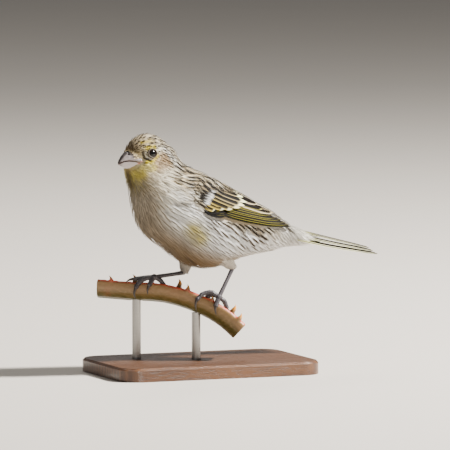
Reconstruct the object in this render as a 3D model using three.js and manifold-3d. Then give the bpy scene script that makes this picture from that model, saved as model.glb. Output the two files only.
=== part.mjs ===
// A perched Atlantic canary at life size. It grips the toothed edge of a cut length of aloe leaf, which two
// short rods hold over a flat base. Millimetres, +Z up, origin at the centre of the base's underside.
// The bird faces -X. Its plane of symmetry is y = 0, apart from the head, which is turned to the bird's left.
import * as THREE from "three";
import { mergeVertices } from "three/addons/utils/BufferGeometryUtils.js";
import Module from "manifold-3d";

const wasm = await Module();
wasm.setup();

// Driving dimensions.
const GAP = 0.3; // clearance between touching nodes
const BIRD_AT = [12, 0, 66]; // the bird's own origin, from the origin of the base
const HEAD_TURN = 13; // degrees to the bird's left
const TURN_PIVOT_X = -28; // the vertical line through the neck that the head turns about
const BLEND = 2; // how softly the body's masses run together
const EYE_RADIUS = 2.5;
const LID_RADIUS = 2; // of the ring that the lids make
const WING_LENGTH = 64; // bend to tip
const TAIL_LENGTH = 45.6; // of an outer tail feather beyond the rump
const TARSUS_RADIUS = 0.8;
const TOE_RADIUS = 0.68;
const LEAF_TURN = -28.3; // degrees that the leaf's run is turned about the vertical
const BASE = { length: 96, width: 62, thick: 6, corner: 9 };
const ROD_RADIUS = 2;

// Plain helpers.
const vec = (x, y, z) => new THREE.Vector3(x, y, z);
const rad = THREE.MathUtils.degToRad;
const lerp = THREE.MathUtils.lerp;
const smooth = THREE.MathUtils.smoothstep;
const shares = (count) => Array.from({ length: count + 1 }, (_, i) => i / count);

// A draw of numbers from 0 to 1 that is the same each time.
function seeded(seed) {
  let state = seed;
  return () => {
    state = (state * 1664525 + 1013904223) % 4294967296;
    return state / 4294967296;
  };
}

// A closed geometry as a solid that can be joined and cut.
function solid(geometry) {
  const bare = geometry.index ? geometry.toNonIndexed() : geometry.clone();
  bare.deleteAttribute("normal");
  bare.deleteAttribute("uv");
  const merged = mergeVertices(bare, 1e-4);
  const vertProperties = merged.attributes.position.array;
  const triVerts = new Uint32Array(merged.index.array);
  return new wasm.Manifold(new wasm.Mesh({ numProp: 3, vertProperties, triVerts }));
}

// The solid's one largest closed surface, which drops loose scraps.
function largest(made) {
  const bodies = made.decompose();
  return bodies.reduce((best, body) => (body.volume() > best.volume() ? body : best));
}

function geometryOf(made) {
  const mesh = made.getMesh();
  const stride = mesh.numProp;
  const positions = new Float32Array(mesh.numVert * 3);
  for (let i = 0; i < mesh.numVert; i++)
    positions.set(mesh.vertProperties.subarray(i * stride, i * stride + 3), i * 3);
  const geometry = new THREE.BufferGeometry();
  geometry.setAttribute("position", new THREE.BufferAttribute(positions, 3));
  geometry.setIndex(new THREE.BufferAttribute(new Uint32Array(mesh.triVerts), 1));
  geometry.computeVertexNormals();
  return geometry;
}

// A closed solid through rings of points, with a fan at each end. The two halves of a ring are split into
// triangles alike, so that a thin curved vane's faces keep their distance.
function loft(rings) {
  const count = rings[0].length;
  const points = rings.flat();
  const faces = [];
  for (let i = 0; i + 1 < rings.length; i++)
    for (let j = 0; j < count; j++) {
      const a = i * count + j;
      const b = i * count + ((j + 1) % count);
      if (j < count / 2) faces.push([a, b, b + count], [a, b + count, a + count]);
      else faces.push([a, b, a + count], [b, b + count, a + count]);
    }
  const middle = (ring) => ring.reduce((sum, p) => sum.add(p), vec(0, 0, 0)).divideScalar(count);
  const first = points.push(middle(rings[0])) - 1;
  const last = points.push(middle(rings.at(-1))) - 1;
  const end = (rings.length - 1) * count;
  for (let j = 0; j < count; j++) {
    const k = (j + 1) % count;
    faces.push([first, k, j], [last, end + j, end + k]);
  }
  const volume = faces.reduce(
    (sum, [a, b, c]) => sum + points[a].dot(vec(0, 0, 0).crossVectors(points[b], points[c])),
    0,
  );
  const facing = volume < 0 ? faces.map(([a, b, c]) => [a, c, b]) : faces;
  const geometry = new THREE.BufferGeometry();
  const positions = facing.flat().flatMap((i) => points[i].toArray());
  geometry.setAttribute("position", new THREE.Float32BufferAttribute(positions, 3));
  return solid(geometry);
}

// A tapering round limb along a smooth curve through points, with a radius at each of them.
function limb(points, radii, sides, steps) {
  const curve = new THREE.CatmullRomCurve3(points, false, "centripetal");
  const frames = curve.computeFrenetFrames(steps, false);
  const rings = shares(steps).map((t, i) => {
    const centre = curve.getPoint(t);
    const at = t * (radii.length - 1);
    const from = Math.min(Math.floor(at), radii.length - 2);
    const radius = lerp(radii[from], radii[from + 1], at - from);
    const tangent = curve.getTangent(t);
    const side = frames.normals[i].clone().addScaledVector(tangent, -frames.normals[i].dot(tangent));
    side.normalize();
    const up = vec(0, 0, 0).crossVectors(tangent, side);
    return Array.from({ length: sides }, (_, j) => {
      const turn = (j / sides) * 2 * Math.PI;
      return centre
        .clone()
        .addScaledVector(side, radius * Math.cos(turn))
        .addScaledVector(up, radius * Math.sin(turn));
    });
  });
  return loft(rings);
}

function ball(centre, radius, detail) {
  const geometry = new THREE.SphereGeometry(radius, detail * 2, detail);
  return solid(geometry).translate(centre.toArray());
}

function rod(from, to, radius, sides) {
  const along = to.clone().sub(from);
  const geometry = new THREE.CylinderGeometry(radius, radius, along.length(), sides);
  geometry.applyQuaternion(new THREE.Quaternion().setFromUnitVectors(vec(0, 1, 0), along.normalize()));
  geometry.translate(...from.clone().add(to).divideScalar(2).toArray());
  return solid(geometry);
}

// The body's masses. Each is an ellipsoid: its centre, its half sizes along, across and up, and how far its
// front dips, in degrees. One off the middle stands for a pair.
const MASSES = {
  cranium: { at: [-39.3, 0, 34.8], half: [8.6, 7.6, 7.8], dip: 10 },
  face: { at: [-43.6, 0, 32.2], half: [4.9, 4.7, 5.0], dip: 30 },
  cheek: { at: [-40, 3.2, 29], half: [5.6, 3.8, 4.6], dip: 0 },
  chin: { at: [-43.4, 0, 27.2], half: [4.6, 4.2, 3.6], dip: 0 },
  throat: { at: [-40, 0, 22], half: [7.8, 7.6, 7.2], dip: 0 },
  nape: { at: [-32.6, 0, 27.5], half: [8.5, 8, 10.4], dip: -35 },
  crop: { at: [-31, 0, 14.5], half: [14, 14.2, 12.5], dip: 0 },
  breast: { at: [-25.4, 0, 5.4], half: [17.4, 17, 14.6], dip: -12 },
  belly: { at: [-11, 0, -2.8], half: [19.6, 17, 16.4], dip: -8 },
  scruff: { at: [-19.5, 0, 21.8], half: [8, 6.5, 4.6], dip: -36 },
  mantle: { at: [-15, 0, 12.2], half: [15, 12.5, 12.0], dip: -25 },
  back: { at: [-1, 0, 5.2], half: [20, 12, 11], dip: -26 },
  flank: { at: [2, 5.5, -4.5], half: [14, 8, 8.6], dip: -8 },
  rump: { at: [10, 0, -1.5], half: [19, 11, 10.3], dip: -14 },
  vent: { at: [27, 0, -4.9], half: [12, 5.2, 3.9], dip: -12 },
};

// How far a point is from an ellipsoid's surface, roughly, and less than 0 inside it.
function outside({ at, half, dip }, p, side) {
  const x = p.x - at[0];
  const y = p.y - at[1] * side;
  const z = p.z - at[2];
  const c = Math.cos(rad(dip));
  const s = Math.sin(rad(dip));
  const q = [(-x * c - z * s) / half[0], y / half[1], (-x * s + z * c) / half[2]];
  const near = Math.hypot(...q);
  const steep = Math.hypot(q[0] / half[0], q[1] / half[1], q[2] / half[2]);
  return (near * (near - 1)) / Math.max(steep, 1e-6);
}

const BODY = Object.values(MASSES).flatMap((mass) => (mass.at[1] ? [[mass, 1], [mass, -1]] : [[mass, 1]]));

// The height of a point over the body's surface, with the masses run together. The bird looks straight ahead.
function height(p, masses = BODY) {
  const sum = masses.reduce((total, [mass, side]) => total + Math.exp(-outside(mass, p, side) / BLEND), 0);
  return -BLEND * Math.log(sum);
}

// How far from a point along a direction the height rises to a level, coming from inside.
function reach(from, along, level, furthest = 40) {
  const p = vec(0, 0, 0);
  const over = (d) => height(p.copy(from).addScaledVector(along, d)) > level;
  const step = 0.5;
  let low = 0;
  while (low < furthest && !over(low + step)) low += step;
  let high = low + step;
  for (let i = 0; i < 14; i++) {
    const half = (low + high) / 2;
    if (over(half)) high = half;
    else low = half;
  }
  return low;
}

// Sections from the face to the tail's root, each given by about where it meets the back and the front.
const SECTIONS = [
  [-48.6, 37, -49.4, 27.5], [-47.2, 40, -49, 25], [-44.5, 42, -48.8, 22], [-41, 43, -48.4, 19.5],
  [-36.5, 42.6, -48, 17], [-32, 40.6, -47.6, 14.5], [-28, 37.5, -47, 11.5], [-25, 34, -46.3, 8],
  [-22.3, 30, -45, 4], [-19, 27, -43, -1], [-13.5, 25.3, -39, -6], [-5.5, 21.5, -32, -12],
  [4, 16.2, -22, -17.6], [13, 11, -10, -19.5], [21, 5.5, 3, -17.5], [28, 0.5, 15, -13.5],
  [32, -2, 25, -11], [34, -3.2, 32.4, -9.6],
];
const LAST = SECTIONS.length - 1;
const BACK_LINE = new THREE.CatmullRomCurve3(SECTIONS.map(([x, z]) => vec(x, 0, z)));
const FRONT_LINE = new THREE.CatmullRomCurve3(SECTIONS.map(([, , x, z]) => vec(x, 0, z)));
const NECK_FROM = 5.6 / LAST; // shares of the sections where the head ends and the neck ends
const NECK_TO = 8.5 / LAST;
const RUMP_FROM = 14.6 / LAST;

// Turns a point of the head, or part of the way for the neck, to the bird's left.
function turned(p, share = 1) {
  const angle = rad(HEAD_TURN) * share;
  const x = p.x - TURN_PIVOT_X;
  const [c, s] = [Math.cos(angle), Math.sin(angle)];
  return vec(TURN_PIVOT_X + x * c - p.y * s, x * s + p.y * c, p.z);
}

const turnAt = (t) => 1 - smooth(t, NECK_FROM, 10 / LAST);

// The body's section at a share of the way along, standing over the surface by a level.
function bodyRing(t, level, count = 28) {
  const back = BACK_LINE.getPoint(t);
  const up = back.clone().sub(FRONT_LINE.getPoint(t)).normalize();
  const centre = back.clone().add(FRONT_LINE.getPoint(t)).divideScalar(2);
  return Array.from({ length: count }, (_, j) => {
    const round = (j / count) * 2 * Math.PI;
    const out = up.clone().multiplyScalar(Math.cos(round));
    out.y = Math.sin(round);
    return centre.clone().addScaledVector(out, reach(centre, out, level));
  });
}

const turnRing = (ring, t) => ring.map((p) => turned(p, turnAt(t)));

// A length of the body between two shares of the way along.
function bodyLength(from, to, rings, level = 0, count = 28) {
  const at = shares(rings).map((s) => lerp(from, to, s));
  return loft(at.map((t) => turnRing(bodyRing(t, level, count), t)));
}

// The part of a solid that lies behind, or in front of, the section at a share of the way along, clear of it.
function clearOf(made, t, behind, gap = GAP / 2) {
  const ring = turnRing(bodyRing(t, 0), t);
  const way = vec(0, 0, 0).crossVectors(ring[7].clone().sub(ring[0]), ring[14].clone().sub(ring[0]));
  way.normalize().multiplyScalar(Math.sign(way.x) * (behind ? 1 : -1));
  return made.trimByPlane(way.toArray(), way.dot(ring[0]) + gap);
}

// The front of the head closes with rounded rings rather than with a flat face.
function faceRings(count = 28) {
  const ring = bodyRing(0, 0, count);
  const centre = BACK_LINE.getPoint(0).add(FRONT_LINE.getPoint(0)).divideScalar(2);
  return [0.3, 0.7].map((share) =>
    ring.map((p) => {
      const inner = centre.clone().lerp(p, share);
      return inner.addScaledVector(vec(-1, 0, 0), reach(inner, vec(-1, 0, 0), 0));
    }),
  );
}

function headLength(to, rings) {
  const at = shares(rings).map((s) => lerp(0, to, s));
  return loft([...faceRings(), ...at.map((t) => bodyRing(t, 0))].map((ring) => turnRing(ring, 0)));
}

// The bill: heights of its ridge, cutting edge and keel, and its half width, at places along it from the tip.
const BILL_TIP = vec(-54.8, 0, 29.7);
const BILL = [
  { x: -54.6, ridge: 30.1, edge: 29.7, keel: 29.4, half: 0.3 },
  { x: -53.7, ridge: 31.6, edge: 30.1, keel: 28.8, half: 1.15 },
  { x: -52.3, ridge: 33.3, edge: 30.7, keel: 28.0, half: 2.1 },
  { x: -50.6, ridge: 34.7, edge: 31.0, keel: 27.4, half: 3.1 },
  { x: -48.6, ridge: 35.6, edge: 30.8, keel: 27.0, half: 4.2 },
  { x: -46.5, ridge: 35.9, edge: 30.2, keel: 26.9, half: 5.2 },
  { x: -44.6, ridge: 35.8, edge: 29.7, keel: 26.9, half: 5.5 },
];

// One half of the bill as a solid, larger all round by grow.
function billHalf(upper, grow) {
  const rings = BILL.map(({ x, ridge, edge, keel, half }, i) => {
    const shift = grow * lerp(-1, 1, i / (BILL.length - 1));
    const low = upper ? edge + GAP / 2 - grow : keel - grow;
    const high = upper ? ridge + grow : edge - GAP / 2 + grow;
    const wide = (half + grow) * (upper ? 1 : 0.9);
    const tall = high - low;
    return Array.from({ length: 14 }, (_, j) => {
      const round = (j / 14) * 2 * Math.PI;
      const up = upper ? Math.cos(round) : -Math.cos(round);
      const share = up > 0 ? up ** 1.25 : 0.08 * up; // flat along the cutting edge, narrow at the ridge
      const across = Math.sign(Math.sin(round)) * Math.abs(Math.sin(round)) ** 0.85;
      const z = upper ? low + tall * Math.max(share, 0) : high - tall * Math.max(share, 0);
      return turned(vec(x + shift, across * wide, z + (up > 0 ? 0 : 0.02 * up * (upper ? 1 : -1))));
    });
  });
  return loft(rings);
}

function nostrils() {
  return [-1, 1].map((side) =>
    rod(turned(vec(-50.0, 0.9 * side, 33.4)), turned(vec(-50.6, 3.6 * side, 34.4)), 0.42, 8),
  );
}

// Where each eye sits: a point on the head's surface, and the way out of the head there.
function eyeSeat(side) {
  const inside = vec(-39.9, 0, 33.8);
  const way = vec(-0.2, side, 0.06);
  const at = inside.clone().addScaledVector(way, reach(inside, way, 0));
  const slope = ["x", "y", "z"].map((axis) => {
    const [more, less] = [at.clone(), at.clone()];
    more[axis] += 1.2;
    less[axis] -= 1.2;
    return height(more) - height(less);
  });
  return { at, out: vec(...slope).normalize() };
}

function eyeball(side, grow) {
  const { at, out } = eyeSeat(side);
  const centre = at.clone().addScaledVector(out, 0.7 - EYE_RADIUS);
  return ball(turned(centre), EYE_RADIUS + grow, 7);
}

// The ring of the two lids, a little drawn out towards the bill and the back of the head.
function lids(side) {
  const { at, out } = eyeSeat(side);
  const geometry = new THREE.TorusGeometry(LID_RADIUS, 0.42, 5, 16);
  geometry.scale(1.06, 1, 1.3);
  geometry.applyQuaternion(new THREE.Quaternion().setFromUnitVectors(vec(0, 0, 1), out));
  geometry.translate(...at.clone().addScaledVector(out, -0.05).toArray());
  geometry.applyMatrix4(turnMatrix());
  return solid(geometry);
}

function turnMatrix() {
  return new THREE.Matrix4()
    .makeTranslation(TURN_PIVOT_X, 0, 0)
    .multiply(new THREE.Matrix4().makeRotationZ(rad(HEAD_TURN)))
    .multiply(new THREE.Matrix4().makeTranslation(-TURN_PIVOT_X, 0, 0));
}

// The folded wing. Its places are a along the wing from the bend, b up from its lower edge, and a height over
// the carrier, which is the body with a pad that carries the wing's tip over the rump.
const WING_BEND = vec(-31, -14.6, 11.6);
const WING_TIP = vec(29, -4.2, -3.4);
const WING_FACE = vec(0, -0.86, 0.51); // the way the folded wing faces
const ALONG = WING_TIP.clone().sub(WING_BEND).normalize();
const ACROSS = vec(0, 0, 0).crossVectors(WING_FACE, ALONG).normalize();
const OUT = vec(0, 0, 0).crossVectors(ALONG, ACROSS).normalize();
const PAD = { at: [7, -5.4, 0.4], half: [20, 6.8, 6.6], dip: -14 };
const CARRIER = [...BODY, [PAD, 1], [PAD, -1]];
const BED = -1.8; // level of the hollow in the body that the wing lies in

// The wing's lower edge sags below the straight line from bend to tip.
const sag = (a, b) => -2.9 * Math.sin(Math.PI * THREE.MathUtils.clamp(a / 66, 0, 1) ** 1.3) * (1 - b / 17);

// Towards its tip the wing comes up out of its hollow and lies over the rump.
const rises = (a) => 1.2 * smooth(a, 46, 60);

function onWing(a, b, level) {
  const out = WING_BEND.clone().addScaledVector(ALONG, a).addScaledVector(OUT, 22);
  out.addScaledVector(ACROSS, b + sag(a, b));
  const at = vec(0, 0, 0);
  const wanted = level + rises(a);
  const over = (d) => height(at.copy(out).addScaledVector(OUT, -d), CARRIER) > wanted;
  let low = 0;
  while (low < 44 && over(low + 0.6)) low += 0.6;
  let high = low + 0.6;
  for (let i = 0; i < 12; i++) {
    const half = (low + high) / 2;
    if (over(half)) low = half;
    else high = half;
  }
  return out.addScaledVector(OUT, -low);
}

// How far up the wing reaches at places along it.
const WING_TOP = [
  [4, 12.6], [12, 15.2], [20, 16.4], [30, 16], [38, 14], [46, 11], [54, 7.4], [58, 4.8], [63, 2.2],
];
function wingHigh(a) {
  const next = Math.max(1, WING_TOP.findIndex(([x]) => x >= a));
  const [from, to] = [WING_TOP[next - 1], WING_TOP[next]];
  return lerp(from[1], to[1], (a - from[0]) / (to[0] - from[0]));
}

// A sheet that follows the carrier between two levels, over part of the wing's outline widened by a margin.
function wingSheet(fromA, toA, low, high, margin) {
  const rings = shares(10).map((s) => {
    const a = lerp(fromA, toA, s);
    const across = shares(5).map((q) => lerp(-margin, wingHigh(a) + margin, q));
    return [
      ...across.map((b) => onWing(a, b, low)),
      ...across.reverse().map((b) => onWing(a, b, high)),
    ];
  });
  return loft(rings);
}

// A feather's half width from root to tip, as a share of its widest: narrow root, even vane, rounded tip.
function vaneWidth(t, point) {
  const root = lerp(0.6, 1, smooth(t, 0, 0.35));
  const tip = t < point ? 1 : Math.sqrt(Math.max(0, 1 - ((t - point) / (1.004 - point)) ** 2));
  return root * Math.max(tip, 0.12);
}

// A wing feather from root (a, b) to tip (a, b), lying at a level. Its lower edge is lifted and its upper
// edge is tucked, so that a row of them overlaps like tiles.
function wingVane({ root, tip, half, level, lift = 0.3, point = 0.72, thick = 0.36, rise = 0.2 }) {
  const rings = [0, 0.5, 0.84, 1].map((t) => {
    const a = lerp(root[0], tip[0], t);
    const b = lerp(root[1], tip[1], t);
    const w = half * vaneWidth(t, point);
    const h = level + rise * t - (t ? 0 : 0.5);
    return [
      onWing(a, b - w, h + lift),
      onWing(a, b - 0.2 * w, h + thick + lift * 0.3),
      onWing(a, b + w, h - lift * 0.7),
      onWing(a, b - 0.2 * w, h - thick + lift * 0.3),
    ];
  });
  return loft(rings);
}

// The wing's rows of feathers, from the deepest to the outermost.
function wingFeathers(seed) {
  const draw = seeded(seed);
  const vary = (amount) => (draw() - 0.5) * 2 * amount;
  const row = (count, place) => shares(count - 1).map((s) => wingVane(place(s)));
  const primaries = row(6, (s) => ({
    root: [18, lerp(1.2, 3.8, s)],
    tip: [lerp(61.8, 53, s ** 1.3) + vary(0.2), lerp(1.1, 3.4, s)],
    half: 1.3,
    level: lerp(BED + 1.1, BED + 1.4, s),
    lift: 0.25,
    point: 0.7,
  }));
  const secondaries = row(4, (s) => ({
    root: [18, lerp(4.6, 8.8, s)],
    tip: [lerp(51.5, 47, s) + vary(0.3), lerp(4, 6.8, s)],
    half: 1.7,
    level: lerp(BED + 1.45, BED + 1.7, s),
    lift: 0.25,
  }));
  const tertials = row(3, (s) => ({
    root: [22, lerp(9.8, 14.4, s)],
    tip: [lerp(53, 37, s) + vary(0.4), lerp(6.2, 13, s)],
    half: lerp(2.8, 2.5, s),
    level: lerp(BED + 1.6, BED + 1.8, s),
    rise: 0,
    point: 0.66,
  }));
  const greater = row(6, (s) => ({
    root: [15, lerp(3.4, 14.2, s)],
    tip: [lerp(29, 33, s) + vary(0.4), lerp(1.9, 13.6, s)],
    half: 1.65,
    level: lerp(BED + 1.9, BED + 2.2, s),
  }));
  const primaryCoverts = row(3, (s) => ({
    root: [11, lerp(0.8, 1.9, s)],
    tip: [lerp(23, 21, s) + vary(0.3), lerp(0.7, 2, s)],
    half: 1.1,
    level: BED + 1.6,
    lift: 0.2,
  }));
  const median = row(6, (s) => ({
    root: [9, lerp(4.2, 13.8, s)],
    tip: [lerp(19.5, 22.5, s) + vary(0.3), lerp(3.4, 13.4, s)],
    half: 1.55,
    level: lerp(BED + 2.3, BED + 2.6, s),
    point: 0.55,
  }));
  const lesser = row(5, (s) => ({
    root: [4.6, lerp(4.8, 12, s)],
    tip: [lerp(13.8, 15.5, s) + vary(0.3), lerp(4.4, 12.8, s)],
    half: 1.6,
    level: lerp(BED + 2.2, BED + 2.6, s),
    rise: 0.6,
    point: 0.5,
  }));
  return [primaries, secondaries, tertials, greater, primaryCoverts, median, lesser].flat();
}

function wing(side) {
  const core = wingSheet(4, 52, BED + GAP, BED + 1.3, -0.1);
  const feathers = wingFeathers(side < 0 ? 7 : 19);
  const whole = core.add(wasm.Manifold.union(feathers));
  const left = largest(whole.trimByPlane([0, -1, 0], GAP / 2));
  return side < 0 ? left : left.mirror([0, 1, 0]);
}

function wingBed(side) {
  const left = wingSheet(3.6, 62.6, BED, 8, 0.4);
  return side < 0 ? left : left.mirror([0, 1, 0]);
}

// The tail: feathers in pairs under each other from the middle pair outwards, roofed, with a notched end.
const TAIL_ROOT = vec(27, 0, -4.2);
const TAIL_SLOPE = 12.6; // degrees below level

function onTail(along, across, up) {
  const slope = rad(TAIL_SLOPE);
  return vec(
    TAIL_ROOT.x + along * Math.cos(slope) + up * Math.sin(slope),
    across,
    TAIL_ROOT.z - along * Math.sin(slope) + up * Math.cos(slope),
  );
}

// A tail feather or covert from root to tip, each [along, across, up], leaning outwards by a tilt.
function tailVane({ root, tip, half, tilt, side, thick = 0.34, point = 0.8 }) {
  const lean = rad(tilt) * side;
  const rings = [0, 0.55, 0.9, 1].map((t) => {
    const [along, across, up] = root.map((value, i) => lerp(value, tip[i], t));
    const w = half * vaneWidth(t, point);
    const at = (q, h) => {
      const y = across * side + q * w * Math.cos(lean);
      return onTail(along, y, up + h - q * w * Math.sin(lean));
    };
    return [at(-1, 0), at(0, thick), at(1, 0), at(0, -thick)];
  });
  return loft(rings);
}

// The tail's root, from the rump's end face on, that the feathers spring from.
function tailCore() {
  const rings = shares(4).map((s) => {
    const along = lerp(2, 17, s);
    const wide = lerp(5, 3.4, s);
    const tall = lerp(3.1, 0.8, s);
    return Array.from({ length: 12 }, (_, j) => {
      const round = (j / 12) * 2 * Math.PI;
      return onTail(along, wide * Math.sin(round), lerp(-0.9, 0, s) + tall * Math.cos(round));
    });
  });
  return loft(rings);
}

function tail() {
  const draw = seeded(31);
  const pieces = [tailCore()];
  for (const side of [-1, 1]) {
    for (const k of [5, 4, 3, 2, 1, 0])
      pieces.push(
        tailVane({
          root: [0, 0.9 + 0.6 * k, 1.7 - 0.65 * k],
          tip: [TAIL_LENGTH - 4 + 0.8 * k + draw() * 0.3, 1.4 + 0.8 * k, 0.9 - 0.42 * k],
          half: 2.5 - 0.08 * k,
          tilt: 7 + 1.5 * k,
          side,
          point: 0.88,
        }),
      );
    for (const k of [0, 1, 2]) {
      const over = { root: [1, 1 + 1.6 * k, 2 - 0.8 * k], tip: [15 - 2 * k, 1.1 + 1.8 * k, 1.7 - 0.8 * k] };
      const under = {
        root: [1, 0.9 + 1.5 * k, -3.6 + 0.6 * k],
        tip: [20 - 3.4 * k, 0.9 + 1.3 * k, -2.2 + 0.2 * k],
      };
      pieces.push(tailVane({ ...over, half: 1.8, tilt: 14 + 12 * k, side, thick: 0.5, point: 0.5 }));
      pieces.push(tailVane({ ...under, half: 1.8, tilt: -12 - 12 * k, side, thick: 0.5, point: 0.5 }));
    }
  }
  return largest(clearOf(wasm.Manifold.union(pieces), 1, true, GAP));
}

// The leaf's own frame: x along its run, y away from the near edge, z up.
const LEAF_AT = vec(-7.4, -11, 0);
const LEAF_RUN = [
  [-55, -23.6], [-40, -24.7], [-26, -25.3], [-15, -27.8], [-7, -30.8], [0, -34.2], [6.5, -38.6], [12, -43.6],
];
const LEAF_CURVE = new THREE.CatmullRomCurve3(LEAF_RUN.map(([x, z]) => vec(x, 0, z)));
const LEAF_SECTION = [
  [0.5, 0], [-0.5, -1.1], [-0.7, -3.2], [0, -5.6], [2.2, -7.9], [5.6, -9.2], [9.4, -9], [12.3, -7.2],
  [13.6, -4.8], [13.5, -2.6], [12.6, -1.6], [11.4, -2.6], [8.4, -5], [4.4, -4.4], [1.6, -1.2],
];

const fromLeaf = (x, y, z) => vec(x, y, z).applyAxisAngle(vec(0, 0, 1), rad(LEAF_TURN)).add(LEAF_AT);

function onLeaf(t, y, n) {
  const at = LEAF_CURVE.getPoint(t);
  const run = LEAF_CURVE.getTangent(t);
  return fromLeaf(at.x - run.z * n, y, at.z + run.x * n);
}

// A tooth of the leaf's edge: a short curved cone that hooks towards the leaf's tip.
function leafTooth(t, y, size) {
  const place = (n, hook) => onLeaf(t - hook / 72, y, n);
  return limb(
    [place(-1.8, 0), place(0.2 * size, 0), place(1.4 * size, 0.3 * size), place(2.6 * size, 1.3 * size)],
    [1.5 * size, 1.15 * size, 0.6 * size, 0.14],
    6,
    3,
  );
}

// Toes as places in the leaf's frame, from the foot's joint to the claw's root and on to the claw's tip.
const FEET = {
  left: {
    joint: [0, 0.3, -31.4],
    middle: [[-3.4, 0.2, -29.2], [-7.2, -0.7, -29.9], [-9.6, -1.5, -32.2]],
    middleClaw: [[-10.3, -1.9, -34.6], [-10.0, -1.7, -37.4]],
    outer: [[-0.6, -0.6, -33], [-1.2, -1.7, -35]],
    outerClaw: [[-1.4, -2.1, -37], [-1.0, -1.8, -39]],
    inner: [[-3.0, 1.5, -30.3], [-5.6, 2.3, -31.4]],
    innerClaw: [[-7.0, 2.6, -33], [-7.2, 2.7, -34.6]],
    back: [[2.2, 1.4, -33.2], [3.2, 2.2, -36.2]],
    backClaw: [[3.9, 2.9, -38.2], [3.8, 3.4, -40.4]],
  },
  right: {
    joint: [-29.2, 0.2, -22.6],
    middle: [[-32, -0.2, -22.9], [-35.2, -1.0, -24.4], [-37.2, -1.6, -27]],
    middleClaw: [[-38, -2.0, -29.8], [-37.3, -1.8, -32.6]],
    outer: [[-30.2, -0.7, -24], [-31.2, -1.6, -26]],
    outerClaw: [[-32, -2.0, -28.2], [-31.9, -1.8, -30.4]],
    inner: [[-33.4, 0.9, -23], [-37.8, 1.0, -23.6]],
    innerClaw: [[-40.4, 0.8, -24], [-42.4, 0.2, -25.4]],
    back: [[-26.8, 1.4, -24], [-25.2, 2.2, -26.2]],
    backClaw: [[-24.2, 2.9, -28], [-24.0, 3.4, -29.8]],
  },
};
const LEGS = {
  left: { knee: vec(-7, -7.5, -11), ankle: vec(1.4, -6.2, -18.6) },
  right: { knee: vec(-15, 8, -11), ankle: vec(-16.4, 8, -21.6) },
};

function foot(name, grow) {
  const toes = FEET[name];
  const joint = fromLeaf(...toes.joint);
  const pieces = [ball(joint, TOE_RADIUS * 1.5 + grow, 5)];
  for (const toe of ["middle", "outer", "inner", "back"]) {
    const knuckles = toes[toe].map((p) => fromLeaf(...p));
    const claw = toes[toe + "Claw"].map((p) => fromLeaf(...p));
    const radii = [1.1, 0.95, 1, 0.82].slice(0, knuckles.length + 1).map((r) => r * TOE_RADIUS + grow);
    pieces.push(limb([joint, ...knuckles], radii, 6, knuckles.length * 2 + 1));
    const last = knuckles.at(-1);
    const before = last.clone().lerp(knuckles.at(-2), 0.25);
    pieces.push(limb([before, last, ...claw], [0.5 + grow, 0.55 + grow, 0.34 + grow, 0.14 + grow], 5, 4));
  }
  return wasm.Manifold.union(pieces);
}

function tarsus(name, grow) {
  const ankle = LEGS[name].ankle;
  const joint = fromLeaf(...FEET[name].joint);
  const way = joint.clone().sub(ankle).normalize();
  const start = ankle.clone().addScaledVector(way, 0.3 - grow);
  const middle = start.clone().lerp(joint, 0.5);
  const radii = [1.15, 0.95, 0.98, 1.15].map((share) => share * TARSUS_RADIUS + grow);
  return limb([start, middle, joint], radii, 8, 6);
}

// The feathered shank, from inside the belly to the ankle.
function thigh(name) {
  const { knee, ankle } = LEGS[name];
  const middle = knee.clone().lerp(ankle, 0.62);
  const whole = limb([knee, middle, ankle], [4.8, 3.6, 2.2, 1.15], 12, 6);
  const belly = bodyLength(NECK_TO, 1, 24, 1.4 * GAP);
  return largest(whole.subtract(belly).subtract(tarsus(name, GAP)));
}

// The nodes, made and cut clear of each other.
const flat = (name, color, roughness) =>
  new THREE.MeshStandardMaterial({ name, color, roughness, metalness: 0 });
const MATERIALS = {
  plumage: flat("plumage", 0xb9ab92, 0.9),
  wing: flat("wing", 0x6f6449, 0.8),
  bill: flat("bill", 0xc3a79c, 0.45),
  eye: flat("eye", 0x0d0a09, 0.08),
  leg: flat("leg", 0x6b5a55, 0.6),
  leaf: flat("leaf", 0x7d7440, 0.5),
  wood: flat("wood", 0x4b3524, 0.5),
  steel: new THREE.MeshStandardMaterial({ name: "steel", color: 0x9a9a98, roughness: 0.35, metalness: 1 }),
};

const canary = new THREE.Group();
const bird = new THREE.Group();
bird.position.set(...BIRD_AT);
canary.add(bird);

function node(name, made, material, group = bird) {
  const mesh = new THREE.Mesh(geometryOf(made), MATERIALS[material]);
  mesh.name = name;
  group.add(mesh);
}

// Head, with its sockets, lids and bill.
const bill = { upper: billHalf(true, 0), lower: billHalf(false, 0) };
const sockets = [-1, 1].map((side) => eyeball(side, GAP));
const headFlesh = clearOf(headLength(NECK_FROM, 11), NECK_FROM, false)
  .add(wasm.Manifold.union([-1, 1].map(lids)))
  .subtract(wasm.Manifold.union([...sockets, billHalf(true, GAP), billHalf(false, GAP)]));
node("head", largest(headFlesh), "plumage");
node("bill_upper", largest(bill.upper.subtract(wasm.Manifold.union(nostrils()))), "bill");
node("bill_lower", bill.lower, "bill");
node("eye_left", eyeball(-1, 0), "eye");
node("eye_right", eyeball(1, 0), "eye");

// Neck, torso and rump, with hollows for the wings.
const beds = wasm.Manifold.union([wingBed(-1), wingBed(1)]);
function trunk(name, from, to, rings) {
  const whole = clearOf(clearOf(bodyLength(from, to, rings), from, true), to, false);
  node(name, largest(whole.subtract(beds)), "plumage");
}
trunk("neck", NECK_FROM, NECK_TO, 5);
trunk("torso", NECK_TO, RUMP_FROM, 15);
trunk("rump", RUMP_FROM, 1, 6);
node("wing_left", wing(-1), "wing");
node("wing_right", wing(1), "wing");
node("tail", tail(), "wing");

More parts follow.
